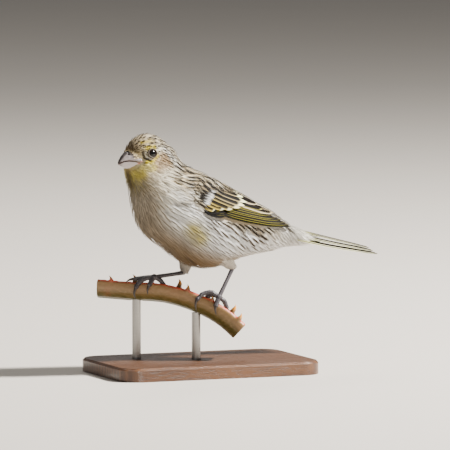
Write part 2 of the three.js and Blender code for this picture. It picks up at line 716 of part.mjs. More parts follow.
for (const name of ["left", "right"]) {
  node("thigh_" + name, thigh(name), "plumage");
  node("tarsus_" + name, largest(tarsus(name, 0).subtract(foot(name, GAP))), "leg");
  node("foot_" + name, foot(name, 0), "leg");
}

// The leaf, with its teeth, cut clear of the feet, and the rods in their holes.
const RODS = { front: [-38, 6.2], back: [-11, 6.2] };
const FLOOR = -BIRD_AT[2];
const rodEnds = Object.entries(RODS).map(([name, [x, y]]) => {
  const share = (x + 55) / 67;
  const keel = LEAF_CURVE.getPoint(share).z - 8.2;
  const foot3 = fromLeaf(x, y, FLOOR + 2.5);
  const top = fromLeaf(x, y, keel + 2);
  return { name, foot: foot3, top };
});
const TEETH = [[-51, 0.8], [-39, 0.9], [-25.2, 1], [-11.4, 0.85], [7, 1.05]]; // each one's place and size
const teeth = TEETH.map(([x, size]) => leafTooth((x + 55) / 67, 0.5, size));
const farTeeth = [-45, -30, -15, 1].map((x) => leafTooth((x + 55) / 67, 12.4, 0.9));
const leafWhole = loft(
  shares(13).map((t) => LEAF_SECTION.map(([y, n]) => onLeaf(t, y, n))),
).add(wasm.Manifold.union([...teeth, ...farTeeth]));
const holes = rodEnds.map(({ foot: from, top }) =>
  rod(from, top.clone().add(vec(0, 0, GAP)), ROD_RADIUS + GAP, 20),
);
const grips = ["left", "right"].map((name) => foot(name, GAP));
node("perch_leaf", largest(leafWhole.subtract(wasm.Manifold.union([...holes, ...grips]))), "leaf");
for (const { name, foot: from, top } of rodEnds)
  node("stand_rod_" + name, rod(from, top, ROD_RADIUS, 20), "steel");

function basePlate() {
  const { length, width, thick, corner } = BASE;
  const [x, y] = [length / 2 - 1, width / 2 - 1];
  const shape = new THREE.Shape();
  shape.moveTo(-x + corner, -y);
  shape.lineTo(x - corner, -y).absarc(x - corner, -y + corner, corner, -Math.PI / 2, 0);
  shape.lineTo(x, y - corner).absarc(x - corner, y - corner, corner, 0, Math.PI / 2);
  shape.lineTo(-x + corner, y).absarc(-x + corner, y - corner, corner, Math.PI / 2, Math.PI);
  shape.lineTo(-x, -y + corner).absarc(-x + corner, -y + corner, corner, Math.PI, 1.5 * Math.PI);
  const options = { depth: thick - 1, bevelThickness: 1, bevelSize: 1, bevelSegments: 1, curveSegments: 6 };
  const slab = solid(new THREE.ExtrudeGeometry(shape, options));
  const below = solid(new THREE.BoxGeometry(200, 200, 2)).translate([0, 0, -1]);
  return slab.subtract(below);
}

const baseHoles = holes.map((hole) => hole.translate(BIRD_AT));
node("stand_base", largest(basePlate().subtract(wasm.Manifold.union(baseHoles))), "wood", canary);

export default canary;
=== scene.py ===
import math

import bmesh
import bpy
import numpy as np
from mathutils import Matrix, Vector


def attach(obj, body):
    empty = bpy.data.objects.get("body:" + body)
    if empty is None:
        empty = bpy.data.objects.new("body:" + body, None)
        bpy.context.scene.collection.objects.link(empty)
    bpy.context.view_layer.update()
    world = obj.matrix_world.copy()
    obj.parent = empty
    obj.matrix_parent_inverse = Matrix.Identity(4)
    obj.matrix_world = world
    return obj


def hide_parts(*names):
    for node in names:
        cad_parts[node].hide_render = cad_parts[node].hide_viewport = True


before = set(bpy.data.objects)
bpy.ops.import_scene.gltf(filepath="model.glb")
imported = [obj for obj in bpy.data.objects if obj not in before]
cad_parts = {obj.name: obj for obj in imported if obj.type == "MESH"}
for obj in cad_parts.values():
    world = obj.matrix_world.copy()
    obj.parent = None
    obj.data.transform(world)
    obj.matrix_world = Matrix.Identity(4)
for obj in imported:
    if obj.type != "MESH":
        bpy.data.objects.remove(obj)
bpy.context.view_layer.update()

# The viewpoint. A long lens three metres away, a little above the bird and in front of its left side, so that
# the bird's body is turned 22 degrees towards the viewer.
BIRD_AT = np.array([12.0, 0.0, 66.0])  # the bird's own origin, in millimetres from the centre of the base
FRAME_WIDTH = 0.2025
away = 3.0
azimuth = math.radians(-22)
elevation = math.radians(5)
toward = Vector(
    (math.sin(azimuth) * math.cos(elevation), -math.cos(azimuth) * math.cos(elevation), math.sin(elevation))
)


def put_in(name, data):
    """An object in the scene with the given data."""
    made = bpy.data.objects.new(name, data)
    bpy.context.scene.collection.objects.link(made)
    return made


camera_data = bpy.data.cameras.new("viewpoint")
camera = put_in("viewpoint", camera_data)
bpy.context.scene.camera = camera
camera_data.lens = camera_data.sensor_width * away / FRAME_WIDTH
camera_data.clip_start = 0.05
camera_data.clip_end = 60
camera.location = Vector(BIRD_AT / 1000) + toward * away
camera.rotation_mode = "QUATERNION"
camera.rotation_quaternion = toward.to_track_quat("Z", "Y")

# The studio. A pale floor under a pale room, a soft lamp high on the viewer's right, a large weaker one on
# the left, and one behind that lights the bird's outline.
world = bpy.data.worlds.new("room")
bpy.context.scene.world = world
world.use_nodes = True
world.node_tree.nodes["Background"].inputs["Color"].default_value = (0.78, 0.77, 0.76, 1)
world.node_tree.nodes["Background"].inputs["Strength"].default_value = 0.19


def lamp(name, place, size, power, colour):
    """A round soft lamp that points at the bird."""
    data = bpy.data.lights.new(name, "AREA")
    data.shape = "DISK"
    data.size = size
    data.energy = power
    data.color = colour
    light = put_in(name, data)
    light.location = place
    aim = Vector(BIRD_AT / 1000) - light.location
    light.rotation_mode = "QUATERNION"
    light.rotation_quaternion = aim.to_track_quat("-Z", "Y")


lamp("key", (0.92, -0.4, 1.05), 0.16, 96, (1.0, 0.975, 0.93))
lamp("fill", (-0.9, -0.9, 0.35), 0.9, 1.0, (0.92, 0.95, 1.0))
lamp("rim", (0.25, 0.9, 1.0), 0.5, 7, (1.0, 0.97, 0.92))


class Socket:
    """A value in a material. Arithmetic on it adds the Math nodes."""

    def __init__(self, finish, link):
        self.finish = finish
        self.link = link

    def maths(self, operation, *others):
        return self.finish.node("ShaderNodeMath", {"operation": operation}, dict(enumerate((self, *others))))

    def __add__(self, other):
        return self.maths("ADD", other)

    def __radd__(self, other):
        return self.maths("ADD", other)

    def __sub__(self, other):
        return self.maths("SUBTRACT", other)

    def __rsub__(self, other):
        return (self * -1.0) + other

    def __mul__(self, other):
        return self.maths("MULTIPLY", other)

    def __rmul__(self, other):
        return self.maths("MULTIPLY", other)


class Finish:
    """One material and the nodes that make it."""

    def __init__(self, name, roughness, **constants):
        self.material = bpy.data.materials.new(name)
        self.material.use_nodes = True
        self.tree = self.material.node_tree
        self.surface = self.tree.nodes["Principled BSDF"]
        self.surface.inputs["Roughness"].default_value = roughness
        for socket, value in constants.items():
            self.surface.inputs[socket.replace("_", " ")].default_value = value

    def node(self, kind, settings=None, inputs=None, output=0):
        made = self.tree.nodes.new(kind)
        for setting, value in (settings or {}).items():
            setattr(made, setting, value)
        for socket, value in (inputs or {}).items():
            if isinstance(value, Socket):
                self.tree.links.new(value.link, made.inputs[socket])
            else:
                made.inputs[socket].default_value = value
        return Socket(self, made.outputs[output])

    def feed(self, socket, value):
        self.tree.links.new(value.link, self.surface.inputs[socket])

    def place(self, scale=(1, 1, 1), turn=(0, 0, 0)):
        where = self.node("ShaderNodeTexCoord", output="Object")
        inputs = {"Vector": where, "Scale": scale, "Rotation": turn}
        return self.node("ShaderNodeMapping", None, inputs)

    def attribute(self, name, output="Fac"):
        return self.node("ShaderNodeAttribute", {"attribute_name": name}, output=output)

    def noise(self, vector, scale, detail=3.0, roughness=0.55):
        inputs = {"Vector": vector, "Scale": scale, "Detail": detail, "Roughness": roughness}
        return self.node("ShaderNodeTexNoise", None, inputs)

    def ramp(self, value, low, high):
        inputs = {"Value": value, "From Min": low, "From Max": high}
        return self.node("ShaderNodeMapRange", {"clamp": True}, inputs)

    def mix(self, share, first, second):
        def coloured(value):
            return value if isinstance(value, Socket) else (*value, 1)

        inputs = {0: share, 6: coloured(first), 7: coloured(second)}
        return self.node("ShaderNodeMix", {"data_type": "RGBA"}, inputs, output=2)

    def bump(self, height, distance, strength=1.0):
        inputs = {"Height": height, "Distance": distance, "Strength": strength}
        self.feed("Normal", self.node("ShaderNodeBump", None, inputs))


def linear(red, green, blue):
    """A colour as it is seen, from 0 to 255, as the light it reflects."""
    seen = np.array([red, green, blue]) / 255
    return tuple(float(c) for c in np.where(seen <= 0.04045, seen / 12.92, ((seen + 0.055) / 1.055) ** 2.4))


def make(name, form, material):
    """A named object with its place in its mesh, from a bmesh or a mesh."""
    if isinstance(form, bmesh.types.BMesh):
        mesh = bpy.data.meshes.new(name)
        form.to_mesh(mesh)
        form.free()
    else:
        mesh = form
        mesh.name = name
    mesh.shade_smooth()
    made = put_in(name, mesh)
    mesh.materials.clear()
    mesh.materials.append(material)
    return made


plaster = Finish("pale_floor", 0.9)
speckle = plaster.noise(plaster.place(), 9.0)
plaster.feed("Base Color", plaster.mix(speckle * 0.25, linear(206, 199, 190), linear(196, 189, 180)))
floor_form = bmesh.new()
bmesh.ops.create_circle(floor_form, cap_ends=True, segments=96, radius=14)
floor = make("floor", floor_form, plaster.material)

# The stand's base. A rounded plate of dark hardwood, planed, stained and varnished, with a turned hole for
# each rod.
wood = Finish("stained_wood", 0.38, Coat_Weight=0.25, Coat_Roughness=0.2)
board = wood.place(scale=(1, 7, 7), turn=(0.05, 0.1, 0.08))
waver = wood.noise(board, 22.0, detail=4.0)
rings = wood.node(
    "ShaderNodeTexWave",
    {"wave_type": "BANDS", "bands_direction": "Y"},
    {"Vector": board, "Scale": 14.0, "Distortion": 5.0, "Detail": 3.0, "Detail Scale": 1.4},
    output="Fac",
)
pores = wood.noise(wood.place(scale=(60, 900, 900)), 4.0, detail=2.0)
pore_mask = wood.ramp(pores, 0.56, 0.66)
heart = wood.mix(rings, linear(84, 52, 31), linear(118, 78, 48))
heart = wood.mix(waver * 0.5, heart, linear(66, 40, 24))
wood.feed("Base Color", wood.mix(pore_mask * 0.6, heart, linear(42, 24, 15)))
wood.feed("Roughness", pore_mask * 0.25 + 0.33)
wood.bump(pore_mask * -1.0 + rings * 0.15, 0.00012)


def finished(node_name, finish):
    """Gives a solid that stays as it is its material."""
    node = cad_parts[node_name]
    node.data.materials.clear()
    node.data.materials.append(finish.material)


finished("stand_base", wood)

# The rods. Two lengths of brushed steel, pressed into the base at one end and into the leaf at the other.
steel = Finish("brushed_rod", 0.32, Metallic=1.0)
brushed = steel.noise(steel.place(scale=(40, 40, 2600)), 3.0, detail=2.0)
steel.feed("Base Color", steel.mix(brushed, linear(150, 148, 144), linear(186, 184, 180)))
steel.feed("Roughness", brushed * 0.22 + 0.22)
finished("stand_rod_front", steel)
finished("stand_rod_back", steel)


# The leaf. A cut length of a thick, gutter-shaped succulent leaf with a waxy skin. Its two edges are red and
# carry hooked horny teeth.
def merged_copy(*names):
    """The named solids as one bmesh with its doubles joined."""
    form = bmesh.new()
    for name in names:
        form.from_mesh(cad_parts[name].data)
    bmesh.ops.remove_doubles(form, verts=form.verts, dist=1e-6)
    return form


def as_made(rough):
    """The mesh that an object's modifiers or curve make, in the object's stead."""
    mesh = bpy.data.meshes.new_from_object(rough.evaluated_get(bpy.context.evaluated_depsgraph_get()))
    bpy.data.objects.remove(rough)
    return mesh


def remeshed(name, form, voxel, smoothing):
    """The form with even small faces and its edges softened."""
    mesh = bpy.data.meshes.new(name)
    form.to_mesh(mesh)
    form.free()
    rough = put_in(name, mesh)
    remesh = rough.modifiers.new("even", "REMESH")
    remesh.mode = "VOXEL"
    remesh.voxel_size = voxel
    soften = rough.modifiers.new("soften", "SMOOTH")
    soften.factor = 0.5
    soften.iterations = smoothing
    return as_made(rough)


def points_of(mesh):
    """The mesh's points in millimetres from the bird's own origin."""
    flat = np.empty(len(mesh.vertices) * 3)
    mesh.vertices.foreach_get("co", flat)
    return flat.reshape(-1, 3) * 1000 - BIRD_AT


def write_share(mesh, name, values):
    """Keeps a value for each of the mesh's points."""
    mesh.attributes.new(name, "FLOAT", "POINT").data.foreach_set("value", np.asarray(values, np.float32))


LEAF_TURN = math.radians(-28.3)
LEAF_AT = (-7.4, -11, 0)  # on the near edge, under the left foot
# Places along the near edge and its heights there.
LEAF_RUN = ((-55, -40, -26, -15, -7, 0, 6.5, 12), (-23.6, -24.7, -25.3, -27.8, -30.8, -34.2, -38.6, -43.6))
leaf_mesh = remeshed("leaf", merged_copy("perch_leaf"), 0.00042, 3)
away_from_foot = points_of(leaf_mesh) - LEAF_AT
run = away_from_foot[:, 0] * math.cos(LEAF_TURN) + away_from_foot[:, 1] * math.sin(LEAF_TURN)
across = away_from_foot[:, 1] * math.cos(LEAF_TURN) - away_from_foot[:, 0] * math.sin(LEAF_TURN)
edge_height = away_from_foot[:, 2] - np.interp(run, *LEAF_RUN)
near_edge = np.hypot(across - 0.3, edge_height + 0.3)
far_edge = np.hypot(across - 12.6, edge_height + 2.0)
write_share(leaf_mesh, "rim", np.clip(1.5 - np.minimum(near_edge, far_edge) / 0.85, 0, 1))
over_edge = np.where(across < 6, edge_height, edge_height + 1.6)
write_share(leaf_mesh, "tooth", np.clip((over_edge - 0.6) / 1.8, 0, 1))
write_share(leaf_mesh, "underside", np.clip((-edge_height - 3.5) / 4, 0, 1))

leaf_skin = Finish("leaf_skin", 0.42, Coat_Weight=0.15, Coat_Roughness=0.3)
leaf_place = leaf_skin.place()
along_leaf = leaf_skin.place(scale=(35, 160, 160), turn=(0, 0.1, 0.49))
mottle = leaf_skin.noise(leaf_place, 55.0, detail=5.0)
fibre = leaf_skin.noise(along_leaf, 6.0, detail=3.0)
green = leaf_skin.mix(mottle, linear(116, 98, 48), linear(150, 108, 72))
green = leaf_skin.mix(leaf_skin.attribute("underside"), green, linear(74, 70, 26))
green = leaf_skin.mix(leaf_skin.ramp(fibre, 0.45, 0.75) * 0.35, green, linear(172, 138, 96))
blush = leaf_skin.ramp(mottle + leaf_skin.attribute("rim") * 0.55, 0.62, 1.05)
green = leaf_skin.mix(blush, green, linear(196, 96, 72))
rim_line = leaf_skin.ramp(leaf_skin.attribute("rim") + mottle * 0.3, 0.95, 1.2)
green = leaf_skin.mix(rim_line, green, linear(214, 74, 38))
green = leaf_skin.mix(leaf_skin.attribute("tooth"), green, linear(250, 166, 52))
leaf_skin.feed("Base Color", green)
leaf_skin.feed("Roughness", mottle * 0.25 + 0.32)
leaf_skin.bump(fibre * 0.7 + mottle * 0.5, 0.00025)
leaf = make("leaf", leaf_mesh, leaf_skin.material)
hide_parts("perch_leaf")
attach(leaf, "root")

# The body's skin. One smooth closed form from the face to the tail's root, which the feathers grow from. It
# is flesh under down, and lies under the outer plumage by the depth of the coat.
# The middle, half sizes and dip in degrees of each rounded mass of the plumage, which all blend together.
MASSES = [
    ((-39.3, 0, 34.8), (8.6, 7.6, 7.8), 10),
    ((-43.6, 0, 32.2), (4.9, 4.7, 5.0), 30),
    ((-40, 3.2, 29), (5.6, 3.8, 4.6), 0),
    ((-43.4, 0, 27.2), (4.6, 4.2, 3.6), 0),
    ((-40, 0, 22), (7.8, 7.6, 7.2), 0),
    ((-32.6, 0, 27.5), (8.5, 8, 10.4), -35),
    ((-31, 0, 14.5), (14, 14.2, 12.5), 0),
    ((-25.4, 0, 5.4), (17.4, 17, 14.6), -12),
    ((-11, 0, -2.8), (19.6, 17, 16.4), -8),
    ((-19.5, 0, 21.8), (8, 6.5, 4.6), -36),
    ((-15, 0, 12.2), (15, 12.5, 12.0), -25),
    ((-1, 0, 5.2), (20, 12, 11), -26),
    ((2, 5.5, -4.5), (14, 8, 8.6), -8),
    ((10, 0, -1.5), (19, 11, 10.3), -14),
    ((27, 0, -4.9), (12, 5.2, 3.9), -12),
    ((7, 5.4, 0.4), (20, 6.8, 6.6), -14),
    ((36, 0, -6.6), (12, 4.4, 2.3), -12),
]
BLEND = 2.0
BOTH_SIDES = MASSES + [((x, -y, z), half, dip) for (x, y, z), half, dip in MASSES if y]


def height(points):
    """How far points lie above the outer plumage of the bird while it looks straight ahead."""
    total = np.zeros(points.shape[:-1])
    for centre, half, dip in BOTH_SIDES:
        cos = math.cos(math.radians(dip))
        sin = math.sin(math.radians(dip))
        x = points[..., 0] - centre[0]
        z = points[..., 2] - centre[2]
        q0 = (-x * cos - z * sin) / half[0]
        q1 = (points[..., 1] - centre[1]) / half[1]
        q2 = (-x * sin + z * cos) / half[2]
        near = np.sqrt(q0**2 + q1**2 + q2**2)
        steep = np.sqrt((q0 / half[0]) ** 2 + (q1 / half[1]) ** 2 + (q2 / half[2]) ** 2)
        total += np.exp(np.minimum(-near * (near - 1) / np.maximum(steep, 1e-6) / BLEND, 60))
    return -BLEND * np.log(np.maximum(total, 1e-30))


def unit(vectors):
    """Vectors made one long."""
    return vectors / np.maximum(np.linalg.norm(vectors, axis=-1, keepdims=True), 1e-9)


def outward(points, step=0.4):
    """The way out of the plumage at each point."""
    here = height(points)
    return unit(np.stack([height(points + step * axis) - here for axis in np.eye(3)], -1))


def settle(points, level, rounds=2):
    """Points moved to a level over the outer plumage, by the shortest way."""
    for _ in range(rounds):
        points = points + outward(points) * (level - height(points))[..., None]
    return points


# Sections from the face to the tail, by where each meets the back and the front.
SECTIONS = np.array(
    [
        (-48.6, 37, -49.4, 27.5), (-47.2, 40, -49, 25), (-44.5, 42, -48.8, 22), (-41, 43, -48.4, 19.5),
        (-36.5, 42.6, -48, 17), (-32, 40.6, -47.6, 14.5), (-28, 37.5, -47, 11.5), (-25, 34, -46.3, 8),
        (-22.3, 30, -45, 4), (-19, 27, -43, -1), (-13.5, 25.3, -39, -6), (-5.5, 21.5, -32, -12),
        (4, 16.2, -22, -17.6), (13, 11, -10, -19.5), (21, 5.5, 3, -17.5), (28, 0.5, 15, -13.5),
        (32, -2, 25, -11), (34, -3.2, 32.4, -9.6),
    ],
    float,
)
LAST = len(SECTIONS) - 1
OVERRUN = 6  # places past either end, over which the skin closes
middles = (SECTIONS[:, :2] + SECTIONS[:, 2:]) / 2
uprights = unit(SECTIONS[:, :2] - SECTIONS[:, 2:])


def read_off(place, places, values):
    """Rows of values read off between those given at some places."""
    return np.stack([np.interp(place, places, column) for column in np.transpose(values)], -1)


def along_sections(values, station):
    """Rows of values, one for each section, read off at places between the sections."""
    return read_off(station, range(LAST + 1), values)


def section_frame(place):
    """The middle, the way up and the way back of the section at each place. Past the ends the section tips
    over by up to a quarter turn, which closes the form."""
    station = np.clip(place, 0, LAST)
    middle = along_sections(middles, station)
    upright = unit(along_sections(uprights, station))
    tip = np.clip(place - station, -OVERRUN, OVERRUN) / OVERRUN * math.pi / 2
    middle = np.stack([middle[:, 0], np.zeros(len(place)), middle[:, 1]], -1)
    up = np.stack([upright[:, 0], np.zeros(len(place)), upright[:, 1]], -1)
    back = np.stack([upright[:, 1], np.zeros(len(place)), -upright[:, 0]], -1)
    return station, middle, up, back, tip


def coat_depth(station):
    """How deep the skin lies under the outer plumage."""
    return np.interp(station, (0, 2, 6, 9, 14, 17), (0.4, 0.5, 0.8, 1.2, 1.3, 0.8))


def on_skin(place, round_body):
    """The skin's points at places along the body and at angles round it from the back."""
    station, middle, up, back, tip = section_frame(place)
    across = up * np.cos(round_body)[:, None] + np.array([0, 1, 0]) * np.sin(round_body)[:, None]
    ray = across * np.cos(tip)[:, None] + back * np.sin(tip)[:, None]
    reach = np.zeros(len(place))
    for _ in range(45):
        gap = -coat_depth(station) - height(middle + ray * reach[:, None])
        reach += np.clip(gap * 0.8, -1.5, 1.5)
    return middle + ray * reach[:, None]


def eased(values, low, high):
    """0 up to the low value, 1 from the high one, and a smooth rise between them."""
    share = np.clip((values - low) / (high - low), 0, 1)
    return share * share * (3 - 2 * share)


HEAD_TURN = math.radians(13)  # to the bird's left
NECK_AT = 28  # how far ahead of the bird's origin the upright line lies that the head turns about


def turned(points, station, shift=True):
    """Points in metres in the part's frame once the head is turned, or turned directions."""
    angle = HEAD_TURN * (1 - eased(station, 5.6, 10))
    x = points[..., 0] + NECK_AT * shift
    y = points[..., 1]
    out = points.copy()
    out[..., 0] = x * np.cos(angle) - y * np.sin(angle) - NECK_AT * shift
    out[..., 1] = x * np.sin(angle) + y * np.cos(angle)
    return (out + BIRD_AT) / 1000 if shift else out


def blended(pairs, station):
    """A colour that changes along the body, from pairs of a station and a colour as it is seen."""
    return read_off(station, [place for place, _ in pairs], [linear(*colour) for _, colour in pairs])


def to_right(points):
    """Points with those of the left side mirrored to the right one."""
    return np.abs(points * (0, 1, 0)) + points * (1, 0, 1)


def mark(points, first, last, radius, fade):
    """1 near the line between two places or their mirror places on the other side, and 0 beyond a radius."""
    beside = to_right(points)
    run = np.array(last) - first
    share = np.clip((beside - first) @ run / max(run @ run, 1e-9), 0, 1)
    away = np.linalg.norm(beside - first - share[:, None] * run, axis=-1)
    return 1 - eased(away / radius, 1 - fade, 1 + fade)


def between(first, second, share):
    """Colours part of the way from the first to the second, by a share at each point."""
    return first + (second - first) * share[..., None]


def laid_over(colours, shade, share):
    """Colours with a shade, given as it is seen, laid over them by a share at each point."""
    return between(colours, np.array(linear(*shade)), share)


def all_over(shade, points):
    """One shade, given as it is seen, at every point."""
    return np.tile(linear(*shade), (len(points), 1))


# Colours as they are seen, by station along the body, on its back, its sides and its underside.
BACK_COLOURS = [
    (0, (184, 164, 132)), (2, (196, 182, 154)), (4, (204, 194, 172)), (7, (216, 209, 194)),
    (9, (216, 206, 182)), (13, (206, 200, 182)), (15, (204, 201, 194)), (17, (216, 213, 200)),
]
SIDE_COLOURS = [
    (0, (200, 184, 146)), (2, (214, 206, 176)), (4, (228, 218, 197)), (7, (232, 226, 211)),
    (9, (236, 235, 230)), (12, (244, 244, 242)), (15, (246, 245, 241)), (17, (242, 240, 234)),
]
# On the underside, the darker buff-brown at station 12, on the belly, is painted shade.
UNDER_COLOURS = [
    (0, (196, 180, 132)), (2, (190, 180, 124)), (4, (154, 146, 122)), (6, (184, 176, 162)),
    (9, (178, 166, 148)), (12, (146, 126, 98)), (14, (200, 188, 168)), (17, (242, 239, 231)),
]
# The streaked flank: both ends of a band along it, its half width and its fade.
FLANK = ((-8, 16, 3), (10, 13, -5), 7.0, 0.4)
# The cream grounds that the mantle's feathers vary between, by chance.
CREAMS = [(0, (196, 172, 132)), (0.5, (224, 211, 184)), (1, (246, 243, 234))]
# Small marks of the head and breast: both ends of a short band, half width, fade, and colour as it is seen.
MARKS = [
    ((-38.0, 8.6, 30.0), (-33.0, 8.6, 31.4), 3.6, 0.6, (192, 166, 130)),
    ((-38.5, 8.4, 36.2), (-33.0, 7.2, 36.6), 1.5, 0.6, (240, 235, 218)),
    ((-33.5, 7.4, 36.0), (-27.0, 7.8, 28.0), 1.7, 0.6, (244, 242, 234)),
    ((-45.0, 6.6, 27.6), (-41.5, 8.6, 28.0), 1.9, 0.6, (220, 210, 132)),
    ((-47.6, 3.2, 24.6), (-45.8, 6.6, 24.6), 2.0, 0.8, (206, 194, 104)),
    # The next band, dark olive-brown down the front of the throat, is painted shade.
    ((-48.9, 0.0, 24.8), (-48.6, 0.5, 19.5), 2.0, 0.7, (92, 78, 48)),
    ((-48.2, 3.8, 34.6), (-45.6, 6.4, 33.6), 1.9, 0.7, (204, 188, 150)),
    ((-45.0, 4.5, 39.0), (-39.2, 6.5, 40.3), 0.85, 0.6, (206, 188, 58)),
    ((-45.4, 6.2, 37.0), (-40.6, 7.2, 38.0), 0.8, 0.4, (226, 214, 178)),
    ((-43.6, 7.2, 36.7), (-39.8, 7.6, 36.9), 1.15, 0.35, (228, 210, 10)),
    ((-44.4, 7.8, 30.3), (-41.6, 8.7, 30.6), 0.8, 0.35, (226, 212, 24)),
    ((-38.8, 8.3, 33.2), (-40.4, 8.6, 31.6), 0.8, 0.45, (226, 204, 60)),
    ((-44.6, 7.3, 34.8), (-44.2, 7.9, 32.6), 0.5, 0.4, (250, 246, 232)),
    ((-44.2, 8.0, 32.4), (-42.4, 8.7, 31.7), 0.4, 0.4, (250, 246, 234)),
    ((-45.7, 6.7, 34.8), (-45.6, 7.3, 32.7), 0.68, 0.3, (20, 16, 13)),
    ((-45.4, 7.5, 32.3), (-42.6, 8.6, 31.0), 0.55, 0.3, (20, 16, 13)),
    ((-46.0, 7.2, 30.0), (-43.9, 8.3, 30.1), 0.34, 0.35, (40, 32, 24)),
    ((-21.5, 16.2, -0.5), (-18.5, 16.2, -3.6), 3.6, 0.95, (190, 176, 62)),
]


def plumage_colours(points, station, along, across, chance):
    """The colours of the body's feathers: by place on the body, then along and across each feather."""
    inside = np.clip(station, 0, LAST)
    up = unit(along_sections(uprights, inside))
    middle = along_sections(middles, inside)
    rise = (points[:, 0] - middle[:, 0]) * up[:, 0] + (points[:, 2] - middle[:, 1]) * up[:, 1]
    level = rise / np.hypot(rise, points[:, 1])
    top = eased(level, 0.15, 0.75)
    under = eased(-level, 0.3, 0.9)
    colour = between(blended(SIDE_COLOURS, inside), blended(BACK_COLOURS, inside), top)
    colour = between(colour, blended(UNDER_COLOURS, inside), under)
    mantle = eased(level, 0.2, 0.4) * eased(inside, 6.0, 7.4) * (1 - eased(inside, 13.0, 14.5))
    colour = between(colour, blended(CREAMS, chance), 0.85 * mantle)
    for first, last, radius, fade, shade in MARKS:
        strength = np.clip(0.95 - 0.3 * fade + 0.6 * (chance - 0.5), 0, 1)
        colour = laid_over(colour, shade, mark(points, first, last, radius, fade) * strength)
    over_back = np.interp(inside, (0, 1, 4, 7, 8.5, 12, 14, 17), (1.1, 1.9, 1.9, 1.1, 1.0, 1.0, 0.4, 0.15))
    over_side = np.interp(inside, (0, 3, 5.5, 9, 12, 15, 17), (0.1, 0.1, 0.4, 0.62, 0.75, 0.45, 0.05))
    over_front = np.interp(inside, (0, 3, 5, 9, 12, 17), (0.1, 0.2, 0.6, 0.55, 0.2, 0.0))
    streak = over_side + (over_back - over_side) * top
    streak += (over_front - streak) * under
    flank = mark(points, *FLANK)
    streak = np.maximum(streak, np.maximum(flank, 1.5 * mantle))
    bold = np.maximum(np.maximum(top, 0.6 * flank), mantle)
    wide = np.interp(inside, (0, 4, 6, 8.5, 14, 17), (0.54, 0.54, 0.42, 0.48, 0.4, 0.3)) * (0.5 + 0.5 * bold)
    wide += (0.47 - wide) * mantle * eased(inside, 6.3, 7.5)
    shaft = np.exp(-((across / wide) ** 4)) * eased(along, 0.25, 0.45) * (1 - 0.5 * eased(along, 0.93, 1.02))
    dark = blended([(0, (54, 43, 32)), (5, (50, 40, 31)), (8, (16, 13, 11)), (13, (30, 25, 20))], inside)
    dark += (np.array(linear(92, 79, 64)) - dark) * (1 - np.maximum(np.maximum(top, mantle), 0.15))[:, None]
    share = np.clip(1.25 * streak * shaft * (0.6 + 0.8 * chance), 0, 1)
    # Each feather is darker towards its root. This is partly its own grey downy base and partly painted shade
    # where it lies under the next feathers.
    downy_base_and_shade = 1 - eased(along, 0.1, 0.5)
    return between(colour, dark, share) * ((1 - 0.35 * downy_base_and_shade) * (0.66 + 0.52 * chance))[:, None]


# The soft feathers' finish. All of them share it, and the shade of each barb is kept in the mesh.
soft_feather = Finish("soft_feathers", 0.72)
dust = soft_feather.noise(soft_feather.place(), 900.0, detail=2.0)
shade = soft_feather.attribute("plumage", output="Color")
soft_feather.feed("Base Color", soft_feather.mix(dust * 0.16, shade, (0.16, 0.13, 0.10)))
soft_feather.surface.inputs["Specular IOR Level"].default_value = 0.1


def write_colours(mesh, colours):
    """Keeps the shades, deepened as feathers are, whose darks are nearly black."""
    layer = mesh.color_attributes.new(name="plumage", type="FLOAT_COLOR", domain="POINT")
    full = np.ones((len(colours), 4), np.float32)
    full[:, :3] = np.minimum(1.2 * np.maximum(colours, 0) ** 1.4, 0.9)
    layer.data.foreach_set("color", full.ravel())


def write_unwrap(mesh, places, name="OFBake"):
    """Puts each of the mesh's points at its place on an unwrap."""
    corners = np.empty(len(mesh.loops), np.int32)
    mesh.loops.foreach_get("vertex_index", corners)
    mesh.uv_layers.new(name=name).uv.foreach_set("vector", places.astype(np.float32)[corners].ravel())


def unwrapped(place, round_body):
    """Where places along and round the body lie on the unwrap of its skin."""
    u = 0.01 + 0.98 * (place + OVERRUN) / (LAST + 2 * OVERRUN)
    return np.stack([u, 0.01 + 0.98 * (round_body / (2 * math.pi) % 1.0)], -1)


skin_finish = Finish("down_and_skin", 0.9)
down_grain = skin_finish.noise(skin_finish.place(), 1400.0, detail=3.0)
skin_shade = skin_finish.attribute("plumage", output="Color")
skin_finish.feed("Base Color", skin_finish.mix(down_grain * 0.5, skin_shade, (0.10, 0.08, 0.07)))
skin_finish.bump(down_grain, 0.0003)

skin_form = bmesh.new()
bmesh.ops.create_grid(skin_form, x_segments=180, y_segments=96, size=0.5)
spread = np.array([v.co for v in skin_form.verts]) + 0.5
skin_place = spread[:, 0] * (LAST + 2 * OVERRUN) - OVERRUN
skin_round = spread[:, 1] * 2 * math.pi
skin_straight = on_skin(skin_place, skin_round)
skin_station = np.clip(skin_place, 0, LAST)
still = np.ones(len(skin_place))
skin_colours = plumage_colours(skin_straight, skin_station, still, still, still * 0.3)
for vertex, spot_at in zip(skin_form.verts, turned(skin_straight, skin_station)):
    vertex.co = spot_at
skin_mesh = bpy.data.meshes.new("skin")
skin_form.to_mesh(skin_mesh)
write_colours(skin_mesh, skin_colours)
write_unwrap(skin_mesh, unwrapped(skin_place, np.minimum(skin_round, 2 * math.pi - 1e-4)))
skin_form.clear()
skin_form.from_mesh(skin_mesh)
bmesh.ops.remove_doubles(skin_form, verts=skin_form.verts, dist=1e-6)
bmesh.ops.recalc_face_normals(skin_form, faces=skin_form.faces)
skin_form.to_mesh(skin_mesh)
skin_form.free()
skin = make("skin", skin_mesh, skin_finish.material)
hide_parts("head", "neck", "torso", "rump")
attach(skin, "root")

